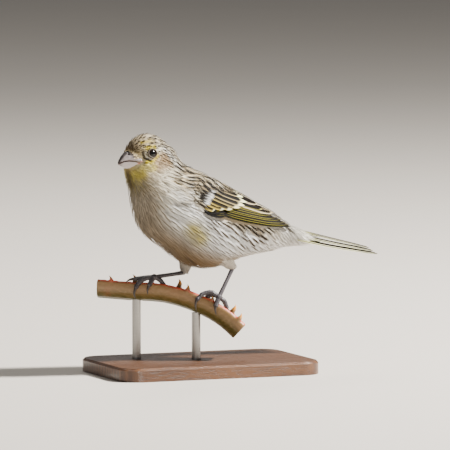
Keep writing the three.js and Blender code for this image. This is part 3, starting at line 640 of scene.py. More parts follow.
# The folded wings' place on the body. Each lies along the back and the flank from the bend at the shoulder to
# its tip over the tail's root: a runs that way along it, and b up from its lower edge.
WING_BEND = np.array([-31, -14.6, 11.6])
WING_TIP = np.array([29, -4.2, -3.4])
ALONG_WING = unit(WING_TIP - WING_BEND)
UP_WING = unit(np.cross((0, -0.86, 0.51), ALONG_WING))
OUT_OF_WING = unit(np.cross(ALONG_WING, UP_WING))
WING_TOP = ((0, 4, 12, 20, 30, 38, 46, 54, 63), (9, 12.6, 15.2, 16.4, 16, 14, 11, 7.4, 2.2))


def sag(a, b):
    """How far the wing's length hangs below the straight line from bend to tip."""
    return -2.9 * np.sin(math.pi * np.clip(a / 66, 0, 1) ** 1.3) * (1 - b / 17)


def wing_place(points):
    """Where points lie along and up the folded wing of their own side."""
    beside = to_right(points) * (1, -1, 1) - WING_BEND
    a = beside @ ALONG_WING
    b = beside @ UP_WING
    return a, b - sag(a, b)


def inside_wing(points):
    """How deep points lie inside the folded wing's outline."""
    a, b = wing_place(points)
    top = np.interp(a, *WING_TOP)
    low = b + 1.2 * eased(a, 13, 16) * (1 - eased(a, 24, 30))
    return np.minimum(np.minimum(low, top - b), np.minimum((a - 0.5) * 0.9, (62 - a) * 0.5))


def over_wing_top(points):
    """How far points lie above the folded wing's upper edge."""
    a, b = wing_place(points)
    return b - np.interp(a, *WING_TOP)


# The soft feathers of the body. Each is a small fan of barbs on a shaft, rooted in the skin and lying back
# over the next ones, shortest round the bill and the eyes. Over the wings' edges they lie on the wings.
EYE_SEAT = np.array([-41.4, 7.7, 34.3])
EYE_ROOM = 2.2
PATCH_ON_UNWRAP = 0.003
# Where the face's feathers begin behind the horn, from the chin up to the forehead, as heights and places.
HORN_EDGE = ((26.2, 27.2, 29.6, 30.8, 33.0, 35.4, 36.6), (-60, -48.6, -46.5, -46.3, -47.6, -49.0, -60))


def scattered(spots, spacing):
    """The numbers of the spots that are kept, so that each stands its own spacing from the others."""
    cell = float(spacing.max())
    filled = {}
    kept = []
    for index, ((x, y, z), space) in enumerate(zip(spots.tolist(), spacing.tolist())):
        i, j, k = int(x // cell), int(y // cell), int(z // cell)
        near = [
            other
            for di in (-1, 0, 1)
            for dj in (-1, 0, 1)
            for dk in (-1, 0, 1)
            for other in filled.get((i + di, j + dj, k + dk), ())
        ]
        if all((x - p) ** 2 + (y - q) ** 2 + (z - r) ** 2 > space * space for p, q, r in near):
            filled.setdefault((i, j, k), []).append((x, y, z))
            kept.append(index)
    return np.array(kept)


def on_patch(patch, a, b):
    """Points at a from root to tip and b from edge to edge of each patch of 5 by 3 points."""
    row = np.clip(a, 0, 1) * 4
    first = np.minimum(row.astype(int), 3)
    share = (row - first)[..., None, None]
    which = np.arange(len(patch))[:, None]
    line = patch[which, first] * (1 - share) + patch[which, first + 1] * share
    left, centre_line, right = line[..., 0, :], line[..., 1, :], line[..., 2, :]
    b = b[..., None]
    return centre_line + b * (right - left) / 2 + b * b * ((right + left) / 2 - centre_line)


def mesh_of(name, points, faces):
    """A mesh from an array of points and one of faces with as many corners each."""
    mesh = bpy.data.meshes.new(name)
    mesh.vertices.add(len(points))
    mesh.vertices.foreach_set("co", points.astype(np.float32).ravel())
    mesh.loops.add(faces.size)
    mesh.loops.foreach_set("vertex_index", faces.astype(np.int32).ravel())
    sides = faces.shape[-1]
    mesh.polygons.add(faces.size // sides)
    mesh.polygons.foreach_set("loop_start", np.arange(0, faces.size, sides, dtype=np.int32))
    mesh.update(calc_edges=True)
    return mesh


def fans(name, patch, normals, length, half, barbs, draw, colouring, root_unwrap, root_station=None):
    """A piece of soft feathers, each a fan of tapered barbs on its own patch. Only those near the head are
    given their station along the body."""
    count = len(patch)
    length = np.broadcast_to(length, count)[:, None, None]
    half = np.broadcast_to(half, count)[:, None, None]
    if root_station is None:
        root_station = np.full(count, float(LAST))
    turning = np.cross(normals[:, 2, 1], patch[:, 4, 1] - patch[:, 0, 1])
    left_handed = ((turning * (patch[:, 2, 2] - patch[:, 2, 0])).sum(-1) < 0)[:, None, None, None]
    patch, normals = (np.where(left_handed, form[:, :, ::-1], form) for form in (patch, normals))
    u = np.linspace(-1, 1, barbs) + draw.normal(0, 0.35 / barbs, (count, barbs))
    u = np.clip(u, -1, 1)
    side = np.abs(u)
    start_a = 0.04 + 0.5 * (1 - side) ** 1.3
    tip_a = 1 - 0.42 * side**2.2 + draw.normal(0, 0.035, (count, barbs))
    tip_b = np.sign(u) * side**0.9 * (1 + draw.normal(0, 0.05, (count, barbs)))
    f = np.array([0, 0.4, 0.76, 1])
    early = (1 - f) ** 2
    middle_share = 2 * f * (1 - f)
    late = f * f
    bend_a = start_a + 0.38 * (tip_a - start_a)
    a = start_a[..., None] * early + bend_a[..., None] * middle_share + tip_a[..., None] * late
    b = 0.78 * tip_b[..., None] * middle_share + tip_b[..., None] * late
    way_a = np.gradient(a, axis=2) * length
    way_b = np.gradient(b, axis=2) * half
    way = np.maximum(np.hypot(way_a, way_b), 1e-6)
    thick = half * 1.3 / barbs * np.array([0.9, 1.0, 0.7, 0])
    shift_a = -way_b / way * thick / length
    shift_b = way_a / way * thick / half
    pair_a = np.stack([a - shift_a, a + shift_a], -1)[:, :, :3].reshape(count, barbs, 6)
    pair_b = np.stack([b - shift_b, b + shift_b], -1)[:, :, :3].reshape(count, barbs, 6)
    all_a = np.concatenate([pair_a, a[..., 3:]], -1).reshape(count, -1)
    all_b = np.concatenate([pair_b, b[..., 3:]], -1).reshape(count, -1)
    points = on_patch(patch, all_a, all_b)
    ways_out = unit(on_patch(normals, all_a, all_b))
    lift = np.repeat(draw.normal(0, 0.045, (count, barbs)), 7, axis=1) * (0.3 + all_a)
    points = points + ways_out * lift[..., None]
    across_feather = unit(patch[:, 2, 2] - patch[:, 2, 0])[:, None]
    tipped = ways_out + across_feather * (0.35 * all_b)[..., None] + draw.normal(0, 0.07, (count, 1, 3))
    chance = np.repeat(draw.random((count, 1)), all_a.shape[1], 1) * 0.55
    chance = chance + np.repeat(draw.random((count, barbs)), 7, axis=1) * 0.45
    station = np.repeat(root_station[:, None], all_a.shape[1], 1)
    colours = colouring(points.reshape(-1, 3), station.ravel(), all_a.ravel(), all_b.ravel(), chance.ravel())
    placed = turned(points, station).reshape(-1, 3)
    corner = np.array([(0, 2, 1), (1, 2, 3), (2, 4, 3), (3, 4, 5), (4, 6, 5)])
    triangles = (np.arange(count * barbs) * 7)[:, None, None] + corner
    mesh = mesh_of(name, placed, triangles)
    write_colours(mesh, colours)
    patch_place = root_unwrap[:, None, :] + np.stack([all_a - 0.5, all_b / 2], -1) * PATCH_ON_UNWRAP
    write_unwrap(mesh, patch_place.reshape(-1, 2))
    mesh.shade_smooth()
    mesh.normals_split_custom_set_from_vertices(turned(unit(tipped), station, shift=False).reshape(-1, 3))
    made = put_in(name, mesh)
    mesh.materials.append(soft_feather.material)
    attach(made, "root")


draw = np.random.default_rng(11)
line_place = np.linspace(-OVERRUN, LAST + 5.9, 220)
line_round = np.linspace(0, 2 * math.pi, 129)
grid_place, grid_round = np.meshgrid(line_place, line_round, indexing="ij")
grid_points = on_skin(grid_place.ravel(), grid_round.ravel()).reshape(*grid_place.shape, 3)
edge_back = grid_points[1:, :-1] - grid_points[:-1, :-1]
edge_round = grid_points[:-1, 1:] - grid_points[:-1, :-1]
cell_area = np.linalg.norm(np.cross(edge_back, edge_round), axis=-1)


def spacing_at(points, station):
    """How far apart the feathers stand: closest on the face, widest on the back and the flanks."""
    close = np.interp(station, (0, 1.5, 3, 5, 7, 9, 17), (0.5, 0.62, 0.85, 1.15, 1.45, 1.8, 1.7))
    crown = eased(points[:, 2], 35.8, 38.2) * eased(-points[:, 0], 24, 30)
    back = eased(points[:, 2] - np.interp(points[:, 0], (-24, 0, 20), (16, 8, 2)), 0, 4)
    back *= eased(points[:, 0], -26, -21)
    flank = mark(points, *FLANK)
    return close + 0.7 * crown + 0.85 * back * (1 - eased(points[:, 0], 8, 16)) + 0.4 * flank


cell_station = np.clip(grid_place[:-1, :-1], 0, LAST)
cell_middle = grid_points[:-1, :-1].reshape(-1, 3)
wanted = cell_area.ravel() / spacing_at(cell_middle, cell_station.ravel()) ** 2 * 3.2
drawn = draw.choice(len(wanted), int(wanted.sum() * (1)), p=wanted / wanted.sum())
cell_i, cell_j = np.unravel_index(drawn, cell_area.shape)
in_a, in_b = draw.random((2, len(drawn)))
root_place = line_place[cell_i] + in_a * (line_place[1] - line_place[0])
root_round = line_round[cell_j] + in_b * (line_round[1] - line_round[0])
corners = [grid_points[cell_i + i, cell_j + j] for i, j in ((0, 0), (1, 0), (0, 1), (1, 1))]
low = corners[0] * (1 - in_a)[:, None] + corners[1] * in_a[:, None]
high = corners[2] * (1 - in_a)[:, None] + corners[3] * in_a[:, None]
roots = low * (1 - in_b)[:, None] + high * in_b[:, None]
root_station = np.clip(root_place, 0, LAST)
from_eye = np.linalg.norm(to_right(roots) - EYE_SEAT, axis=-1)
on_bill = roots[:, 0] < np.interp(roots[:, 2], *HORN_EDGE)
hidden = inside_wing(roots) > np.interp(wing_place(roots)[0], (8, 14), (3.6, 1.6))
allowed = (from_eye > 2.25) & ~on_bill & ~hidden & (root_place < LAST + 1.5)
roots, root_place, root_round = roots[allowed], root_place[allowed], root_round[allowed]
kept = scattered(roots, spacing_at(roots, np.clip(root_place, 0, LAST)))
roots, root_place, root_round = roots[kept], root_place[kept], root_round[kept]

# The mantle's and shoulders' feathers. They are broader, and stand in rows along the back, one behind the
# other, so that their dark shafts make streaks.
MANTLE_PLACES = (6.3, 13.3)
MANTLE_REACH = 1.25


def runs_along(line):
    """How far along a line of points each of them lies."""
    return np.concatenate([[0], np.cumsum(np.linalg.norm(np.diff(line, axis=0), axis=-1))])


in_mantle = (root_place > MANTLE_PLACES[0]) & (root_place < MANTLE_PLACES[1])
in_mantle &= np.abs((root_round + math.pi) % (2 * math.pi) - math.pi) < MANTLE_REACH
in_mantle &= over_wing_top(roots) > -3
roots, root_place, root_round = roots[~in_mantle], root_place[~in_mantle], root_round[~in_mantle]
ridge_place = np.linspace(*MANTLE_PLACES, 200)
ridge_line = on_skin(ridge_place, np.zeros(200))
gone = runs_along(ridge_line)
row_places = np.interp(np.arange(0.5, gone[-1], 4.0), gone, ridge_place)
ring_round = np.linspace(-MANTLE_REACH, MANTLE_REACH, 121)
mantle_place = []
mantle_round = []
for row, row_place in enumerate(row_places):
    ring = on_skin(np.full(121, row_place), ring_round)
    gone = runs_along(ring)
    gone -= gone[60]
    stands = (np.arange(-12, 13) + 0.3 * (row % 2)) * 2.7 + draw.normal(0, 0.2, 25)
    stands = stands[(stands > gone[0]) & (stands < gone[-1])]
    mantle_round.append(np.interp(stands, gone, ring_round))
    mantle_place.append(row_place + draw.normal(0, 0.09, len(stands)))
mantle_place = np.concatenate(mantle_place)
mantle_round = np.concatenate(mantle_round)
mantle_roots = on_skin(mantle_place, mantle_round)
clear = (inside_wing(mantle_roots) < 3.0) & (over_wing_top(mantle_roots) > -3)
mantle_count = int(clear.sum())
roots = np.concatenate([roots, mantle_roots[clear]])
root_place = np.concatenate([root_place, mantle_place[clear]])
root_round = np.concatenate([root_round, mantle_round[clear]])
of_mantle = np.arange(len(roots)) >= len(roots) - mantle_count
root_station = np.clip(root_place, 0, LAST)

_, _, _, lie, _ = section_frame(root_place)
root_out = outward(roots)
a, b = wing_place(roots)
above_wing = over_wing_top(roots)
shoulder = eased(above_wing, -3, 0) * (1 - eased(above_wing, 4, 9)) * eased(a, -2, 4) * (1 - eased(a, 34, 44))
own_side = np.where(roots[:, 1:2] < 0, (1, 1, 1), (1, -1, 1))
up_own_wing = UP_WING * own_side
lie = lie - up_own_wing * (0.34 * shoulder)[:, None]
breast_side = eased(a, -10, -2) * (1 - eased(a, 4, 9)) * eased(b, -9, -3) * (1 - eased(b, 3, 6))
lie = lie + up_own_wing * (0.3 * breast_side)[:, None]
lie = lie + draw.normal(0, 0.06, lie.shape) * np.where(of_mantle, 0.5, 1)[:, None]
lie = unit(lie - root_out * (lie * root_out).sum(-1, keepdims=True))
sideways = np.cross(root_out, lie)
LENGTHS = ((0, 1, 2.5, 4, 6, 8, 10, 14, 17), (1.3, 1.9, 2.9, 3.9, 5.2, 7.0, 9.0, 9.4, 8.0))
length = np.interp(root_station, *LENGTHS)
length = length * draw.uniform(0.85, 1.15, len(roots)) * (1 + 0.2 * shoulder + 0.15 * breast_side)
to_eye = EYE_SEAT * (1, -1, 1) * own_side - roots
ahead = (to_eye * lie).sum(-1)
aside = np.linalg.norm(to_eye - lie * ahead[:, None], axis=-1)
room = ahead - np.sqrt(np.maximum(EYE_ROOM**2 - aside**2, 0))
blocked = (ahead > 0) & (aside < EYE_ROOM)
length = np.where(blocked, np.clip(np.minimum(length, room + 0.25), 0.5, None), length)
length = np.minimum(length, 0.9 + 0.75 * np.maximum(np.linalg.norm(to_eye, axis=-1) - EYE_ROOM, 0.0))
half_width = np.minimum(spacing_at(roots, root_station) * 0.68, length * 0.42)
half_width = np.where(of_mantle, 1.95, half_width)
length = np.where(of_mantle, np.maximum(length * 1.2, 8.6), length)

steps = np.linspace(0, 1, 5)
edges = np.array([-1, 0, 1])
reach_back = lie[:, None, None] * (steps[:, None, None] * length[:, None, None, None])
spread_out = sideways[:, None, None] * (edges[:, None] * half_width[:, None, None, None])
patch = roots[:, None, None] + reach_back + spread_out
depth = coat_depth(root_station)[:, None, None]
tip_lift = np.interp(root_station, (0, 3, 8, 17), (0.05, 0.12, 0.25, 0.2))[:, None, None]
rising = steps[None, :, None] ** 0.75
level = -depth * (1 - rising) + tip_lift * rising + draw.normal(0, 0.1, len(roots))[:, None, None] * rising
level = level - np.array([0.12, 0, 0.12]) * half_width[:, None, None] * 0.5
goes_under = eased(a, 7, 11) * (1 - eased(b, 0.5, 3))
for _ in range(3):
    over_wing = inside_wing(patch)
    wing_a, _ = wing_place(patch)
    wing_level = np.interp(wing_a, (0, 6, 20, 28, 42, 60), (0.6, 1.15, 1.15, 0.75, 0.45, 0.9)) + 0.35 * rising
    above = eased(over_wing, -0.8, 0.9) * eased(rising, 0.15, 0.5)
    raised = level + np.maximum(wing_level - level, 0) * above
    tucked = level + (-2.6 - level) * eased(over_wing, -1.0, 0.4)
    here = raised + (tucked - raised) * goes_under[:, None, None]
    patch = settle(patch, here, 1)
patch_out = outward(patch)

# The coat's pieces from the face back: between which places each has its roots, and how many barbs a feather
# has there.
COAT_PIECES = [
    ("coat_face", -6, 1.6, 13), ("coat_head", 1.6, 3.4, 21), ("coat_nape_and_throat", 3.4, 5.6, 25),
    ("coat_neck", 5.6, 7.6, 31), ("coat_shoulders", 7.6, 9.6, 37), ("coat_breast", 9.6, 11.4, 41),
    ("coat_belly", 11.4, 13.2, 41), ("coat_flanks", 13.2, 15, 39), ("coat_rump", 15, 30, 33),
]
for piece_name, first_place, last_place, barbs in COAT_PIECES:
    here = (root_place >= first_place) & (root_place < last_place)
    fans(
        piece_name, patch[here], patch_out[here], length[here], half_width[here], barbs, draw,
        plumage_colours, unwrapped(root_place, root_round)[here], root_station[here],
    )

# The thighs. Two short feathered shanks that come out of the belly, in small pale feathers that point down
# the leg. Their skin is a tapered tube.
LEGS = {
    "left": {"knee": (-7, -7.5, -11), "ankle": (1.4, -6.2, -18.6)},
    "right": {"knee": (-15, 8, -11), "ankle": (-16.4, 8, -21.6)},
}
THIGH_RADII = ((0, 0.35, 0.7, 1), (4.6, 3.7, 2.3, 1.0))


def tube(name, points, radii, finish, sides=4, steps=10):
    """A smooth tapered tube through points in millimetres from the bird's own origin, closed at both ends."""
    data = bpy.data.curves.new(name, "CURVE")
    data.dimensions = "3D"
    data.bevel_depth = 0.001
    data.bevel_resolution = sides
    data.resolution_u = steps
    data.use_fill_caps = True
    line = data.splines.new("BEZIER")
    line.bezier_points.add(len(points) - 1)
    for knot, point, radius in zip(line.bezier_points, points, radii):
        knot.co = (np.array(point) + BIRD_AT) / 1000
        knot.radius = radius
        knot.handle_left_type = knot.handle_right_type = "AUTO"
    rough = put_in(name, data)
    return make(name, as_made(rough), finish.material)


def thigh_colours(points, station, along, across, chance):
    """Off-white, greyer towards the ankle."""
    colour = laid_over(all_over((238, 232, 222), points), (204, 198, 190), eased(-points[:, 2], 13, 20))
    colour = laid_over(colour, (110, 100, 88), np.exp(-((across / 0.3) ** 2)) * 0.3)
    # Each feather is darker towards its root. This is partly its own grey downy base and partly painted shade
    # where it lies under the next feathers.
    return colour * ((1 - 0.35 * (1 - eased(along, 0.1, 0.5))) * (0.86 + 0.28 * chance))[:, None]


for side_name, leg in LEGS.items():
    knee = np.array(leg["knee"], float)
    ankle = np.array(leg["ankle"], float)
    shank = ankle - knee
    shank_length = np.linalg.norm(shank)
    shank = unit(shank)
    outer = unit(np.cross(shank, (1, 0.2, 0.1)))
    other = np.cross(shank, outer)
    places = (-0.15, 0.3, 0.7, 0.98)
    thigh_line = [knee + shank * shank_length * s for s in places]
    thigh_radius = np.interp(places, *THIGH_RADII) - 0.55
    thigh = tube(f"thigh_skin_{side_name}", thigh_line, thigh_radius, skin_finish, sides=6)
    write_colours(thigh.data, all_over((200, 192, 180), thigh.data.vertices))
    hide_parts(f"thigh_{side_name}")
    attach(thigh, "root")
    count = 340
    down_shank = draw.random(count) ** 0.8 * 1.02 - 0.05
    round_shank = draw.random(count) * 2 * math.pi
    feather_length = draw.uniform(2.4, 3.8, count) * (1 - 0.3 * down_shank)
    feather_length = np.minimum(feather_length, np.maximum((1.05 - down_shank) * shank_length, 1.1))
    feather_half = 0.75 * (1 - 0.35 * down_shank)
    s = down_shank[:, None, None] + steps[:, None] * feather_length[:, None, None] / shank_length
    own_radius = np.interp(down_shank, *THIGH_RADII)
    turn = round_shank[:, None, None] + edges * (feather_half / own_radius)[:, None, None]
    s, turn = np.broadcast_arrays(s, turn)
    lift = -0.5 + 0.7 * steps[:, None] ** 0.8 + draw.normal(0, 0.06, count)[:, None, None]
    radius = np.interp(s, *THIGH_RADII) + lift + 0.6 * eased(s, 0.3, 0.9)
    thigh_out = outer * np.cos(turn)[..., None] + other * np.sin(turn)[..., None]
    thigh_patch = knee + shank * (s * shank_length)[..., None] + thigh_out * radius[..., None]
    thigh_unwrap = np.stack([(down_shank + 0.05) / 1.1, round_shank / (2 * math.pi)], -1) * 0.96 + 0.02
    fans(
        f"coat_thigh_{side_name}", thigh_patch, thigh_out, feather_length, feather_half, 15, draw,
        thigh_colours, thigh_unwrap,
    )


# The wings' long feathers. Primaries, secondaries, tertials and greater coverts are thin, stiff vanes on both
# sides of a shaft. They are laid like tiles, and grow from the wing under its coverts.
def on_wing(a, b, level):
    """Points on the left wing: a along it, b up from its lower edge, at a level over the body."""
    over = WING_BEND + ALONG_WING * a[..., None] + OUT_OF_WING * 22
    over = over + UP_WING * (b + sag(a, b))[..., None]
    wanted = level + 1.2 * eased(a, 46, 60)
    fall = np.zeros(a.shape)
    for _ in range(45):
        fall += np.clip((height(over - OUT_OF_WING * fall[..., None]) - wanted) * 0.75, -0.5, 3)
    return over - OUT_OF_WING * np.clip(fall, 0, 44)[..., None]


BED = -1.8
VANE_DOWN = np.linspace(0, 1, 34)[:, None] ** 0.85
VANE_ACROSS = np.array([-1, -0.93, -0.84, -0.6, -0.3, -0.06, 0, 0.06, 0.3, 0.6, 0.84, 0.93, 1])
BLACK = (22, 18, 14)
OLIVE_EDGE = (158, 150, 66)
BUFF = (214, 202, 172)
COVERT_TIP = (240, 234, 216)
# Each tier from the deepest out: name, count, roots and tips at its lower and upper ends, half width, level
# at both ends, share of the length where the tip's rounding starts, colours of the vane, its edge and its
# tip, and the edge's width.
TIERS = [
    ("primaries", 6, ((18, 1.2), (18, 5.6)), ((61.8, 1.1), (50.5, 4.9)), 1.45, (1.1, 1.55), 0.72,
     BLACK, OLIVE_EDGE, (96, 90, 66), 0.07),
    ("secondaries", 3, ((18, 6.6), (18, 8.6)), ((50, 5.8), (46, 7.2)), 1.7, (1.6, 1.75), 0.74,
     BLACK, OLIVE_EDGE, (176, 168, 122), 0.06),
    ("primary_coverts", 5, ((14.5, -0.2), (15, 2.4)), ((27.0, 0.1), (23, 2.4)), 1.0, (1.65, 1.75), 0.6,
     (24, 20, 17), (140, 132, 66), (56, 50, 40), 0.06),
    ("alula", 3, ((14, -0.4), (14, 0.8)), ((24.5, -0.5), (21, 1.2)), 1.0, (1.8, 1.9), 0.6,
     (16, 13, 11), (50, 44, 36), (40, 34, 29), 0.05),
    ("tertials", 3, ((20, 9.6), (20, 14.2)), ((52.5, 6.6), (37.5, 13)), 2.7, (1.75, 1.95), 0.68,
     (36, 29, 23), BUFF, BUFF, 0.11),
    ("greater_coverts", 8, ((13, 2.2), (14, 14.2)), ((20, 1.4), (35, 13.2)), 1.55, (2.0, 2.25), 0.66,
     (22, 18, 15), (204, 190, 154), COVERT_TIP, 0.1),
]
# How far the greater coverts reach, from the lowest to the highest. Their white tips run up the wing at a
# slant.
GREATER_REACH = ((0, 0.25, 0.5, 0.75, 1), (20, 28, 34.5, 37.5, 35), (1.4, 3.0, 5.2, 8.6, 13.2))


def vane_width(t, rounding):
    """A vane's width at shares of its length, with a rounded tip."""
    root = 0.55 + 0.45 * eased(t, 0, 0.3)
    tip = np.sqrt(np.clip(1 - (np.maximum(t - rounding, 0) / (1.002 - rounding)) ** 2, 0, 1))
    return root * np.maximum(tip, 0.05)


vane_finish = Finish("long_feathers", 0.6, Specular_IOR_Level=0.05)
vane_map = vane_finish.node("ShaderNodeUVMap", {"uv_map": "barbs"})
vane_u = vane_finish.node("ShaderNodeSeparateXYZ", None, {"Vector": vane_map}, output=0)
vane_v = vane_finish.node("ShaderNodeSeparateXYZ", None, {"Vector": vane_map}, output=1)
barb_line = (vane_v - vane_u.maths("ABSOLUTE") * 1.5) * 36.0
barb_wave = (barb_line * (2 * math.pi)).maths("SINE") * 0.5 + 0.5
barb_drift = vane_finish.noise(vane_map, 1.6, detail=4.0)
shaft_mark = 1.0 - vane_finish.ramp(vane_u.maths("ABSOLUTE"), 0.006, 0.018)
vane_shade = vane_finish.attribute("plumage", output="Color")
vane_dark = vane_finish.mix(barb_wave * 0.03 + barb_drift * 0.2, vane_shade, (0.012, 0.010, 0.008))
vane_finish.feed("Base Color", vane_finish.mix(shaft_mark * 0.5, vane_dark, (0.03, 0.022, 0.016)))
vane_finish.feed("Roughness", barb_wave * 0.12 + 0.52)
vane_finish.bump(barb_wave * 0.05 + shaft_mark, 0.00004, 0.5)


def vanes(name, points, outs, q, t, length, half, colours):
    """A piece of long feathers. Each is a thin closed sheet over a grid of points, t from root to tip and q
    across."""
    count, rows, columns = points.shape[:3]
    grid = np.arange(rows * columns).reshape(rows, columns)
    quads = np.stack([grid[:-1, :-1], grid[1:, :-1], grid[1:, 1:], grid[:-1, 1:]], -1).reshape(-1, 4)
    rim = np.concatenate([grid[0, :], grid[1:, -1], grid[-1, -2::-1], grid[-2:0:-1, 0]])
    thin = np.minimum(1, (1.05 - np.abs(q)) * 2.2) * (1 - 0.6 * eased(t, 0.5, 1)) * 0.09 + 0.03
    under = points - outs * thin[..., None]
    size = rows * columns
    both = np.concatenate([points.reshape(count, -1, 3), under.reshape(count, -1, 3)], 1)
    after = np.roll(rim, -1)
    wall = np.stack([rim, after, after + size, rim + size], -1)
    faces = np.concatenate([quads, quads[:, ::-1] + size, wall])
    every = (np.arange(count) * 2 * size)[:, None, None] + faces
    placed = turned(both, np.full(both.shape[:2], float(LAST))).reshape(-1, 3)
    mesh = mesh_of(name, placed, every)
    write_colours(mesh, np.concatenate([colours.reshape(count, -1, 3)] * 2, 1).reshape(-1, 3))
    half = np.broadcast_to(half, count)[:, None, None]
    in_feather = np.stack([q * half, t * np.array(length)[:, None, None]], -1) / 10
    in_feather = np.concatenate([in_feather.reshape(count, -1, 2)] * 2, 1)
    write_unwrap(mesh, in_feather.reshape(-1, 2), "barbs")
    strip = np.stack([(np.arange(count)[:, None, None] + 0.25 + 0.2 * q) / count, 0.02 + 0.96 * t], -1)
    strip = strip.reshape(count, -1, 2)
    strip = np.concatenate([strip, strip + (0.5 / count, 0)], 1)
    write_unwrap(mesh, strip.reshape(-1, 2))
    cleaned = bmesh.new()
    cleaned.from_mesh(mesh)
    bmesh.ops.recalc_face_normals(cleaned, faces=cleaned.faces)
    cleaned.to_mesh(mesh)
    cleaned.free()
    made = make(name, mesh, vane_finish.material)
    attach(made, "root")
    return made


def vane_colours(q, t, chance, ground, fringe, tip, narrow=0.16, tip_from=0.93):
    """A dark vane with a pale fringe along its outer edge and round its tip."""
    edge = eased(-q, 1 - 2.2 * narrow, 1 - 0.9 * narrow)
    edge = edge + 0.55 * eased(q, 1 - 1.2 * narrow, 1 - 0.3 * narrow)
    edge = np.clip(edge, 0, 1) * eased(t, 0.1, 0.3)
    end = eased(t + 0.03 * np.abs(q), tip_from, tip_from + 0.05)
    paler = (0.85 + 0.3 * chance) * (1 + 0.5 * eased(q, -0.2, 0.8))
    colour = np.array(linear(*ground)) * paler[..., None]
    return laid_over(laid_over(colour, fringe, edge), tip, end)


def soft_covert_colours(ground, edge, tip, tip_from, streaked):
    """Small coverts, dark with a pale tip. Streaked ones match the mantle's feathers above them."""

    def colouring(points, station, along, across, chance):
        rim = eased(np.abs(across), 0.84 - 0.22 * streaked, 0.98 - 0.08 * streaked) * eased(along, 0.3, 0.6)
        end = eased(along + 0.12 * np.abs(across), tip_from, tip_from + 0.1)
        shaft = 0.75 * np.exp(-((across / 0.14) ** 2))
        colour = laid_over(all_over(ground, points), edge, rim)
        colour = laid_over(colour, tip, end * (1 - streaked * shaft))
        colour = laid_over(colour, (70, 58, 44), streaked * shaft * eased(along, 0.2, 0.5))
        high = streaked * eased(wing_place(points)[1], 5.5, 8.0)
        colour = between(colour, blended(CREAMS, chance), high)
        bold = high * np.exp(-((across / 0.48) ** 4)) * eased(along, 0.2, 0.4)
        colour = laid_over(colour, (18, 15, 12), bold * (1 - 0.5 * eased(along, 0.9, 1.0)))
        return colour * (0.84 + 0.32 * chance)[:, None]

    return colouring


# The small coverts: name, count, roots and tips at the row's lower and upper ends, half width, level, colours
# of the ground, edge and tip, where the tip begins, and whether they are streaked.
SMALL_COVERTS = [
    ("median_coverts", 9, ((8.5, 3.4), (9.5, 14)), ((17.0, 2.8), (24.0, 13.6)), 1.75, 2.55,
     (13, 10, 8), (120, 112, 98), (250, 250, 246), 0.72, 0),
    ("lesser_coverts_back", 7, ((4.6, 3.4), (5.6, 13.8)), ((11.2, 3.0), (13.6, 13.6)), 1.55, 2.75,
     (92, 80, 64), (224, 218, 202), (238, 232, 218), 0.62, 1),
    ("lesser_coverts_front", 7, ((1.8, 3.0), (3.0, 12.8)), ((9.0, 2.8), (10.6, 12.8)), 1.5, 2.9,
     (206, 200, 186), (230, 226, 216), (234, 230, 220), 0.6, 1),
    ("marginal_coverts", 6, ((2.4, 0.8), (2.2, 4.6)), ((9.6, 0.8), (9.0, 4.4)), 0.95, 2.6,
     (206, 200, 186), (230, 226, 216), (234, 230, 220), 0.6, 1),
]


def along_row(ends, share):
    """Places from a row's lower end to its upper end."""
    return np.array(ends[0]) + (np.array(ends[1]) - ends[0]) * share


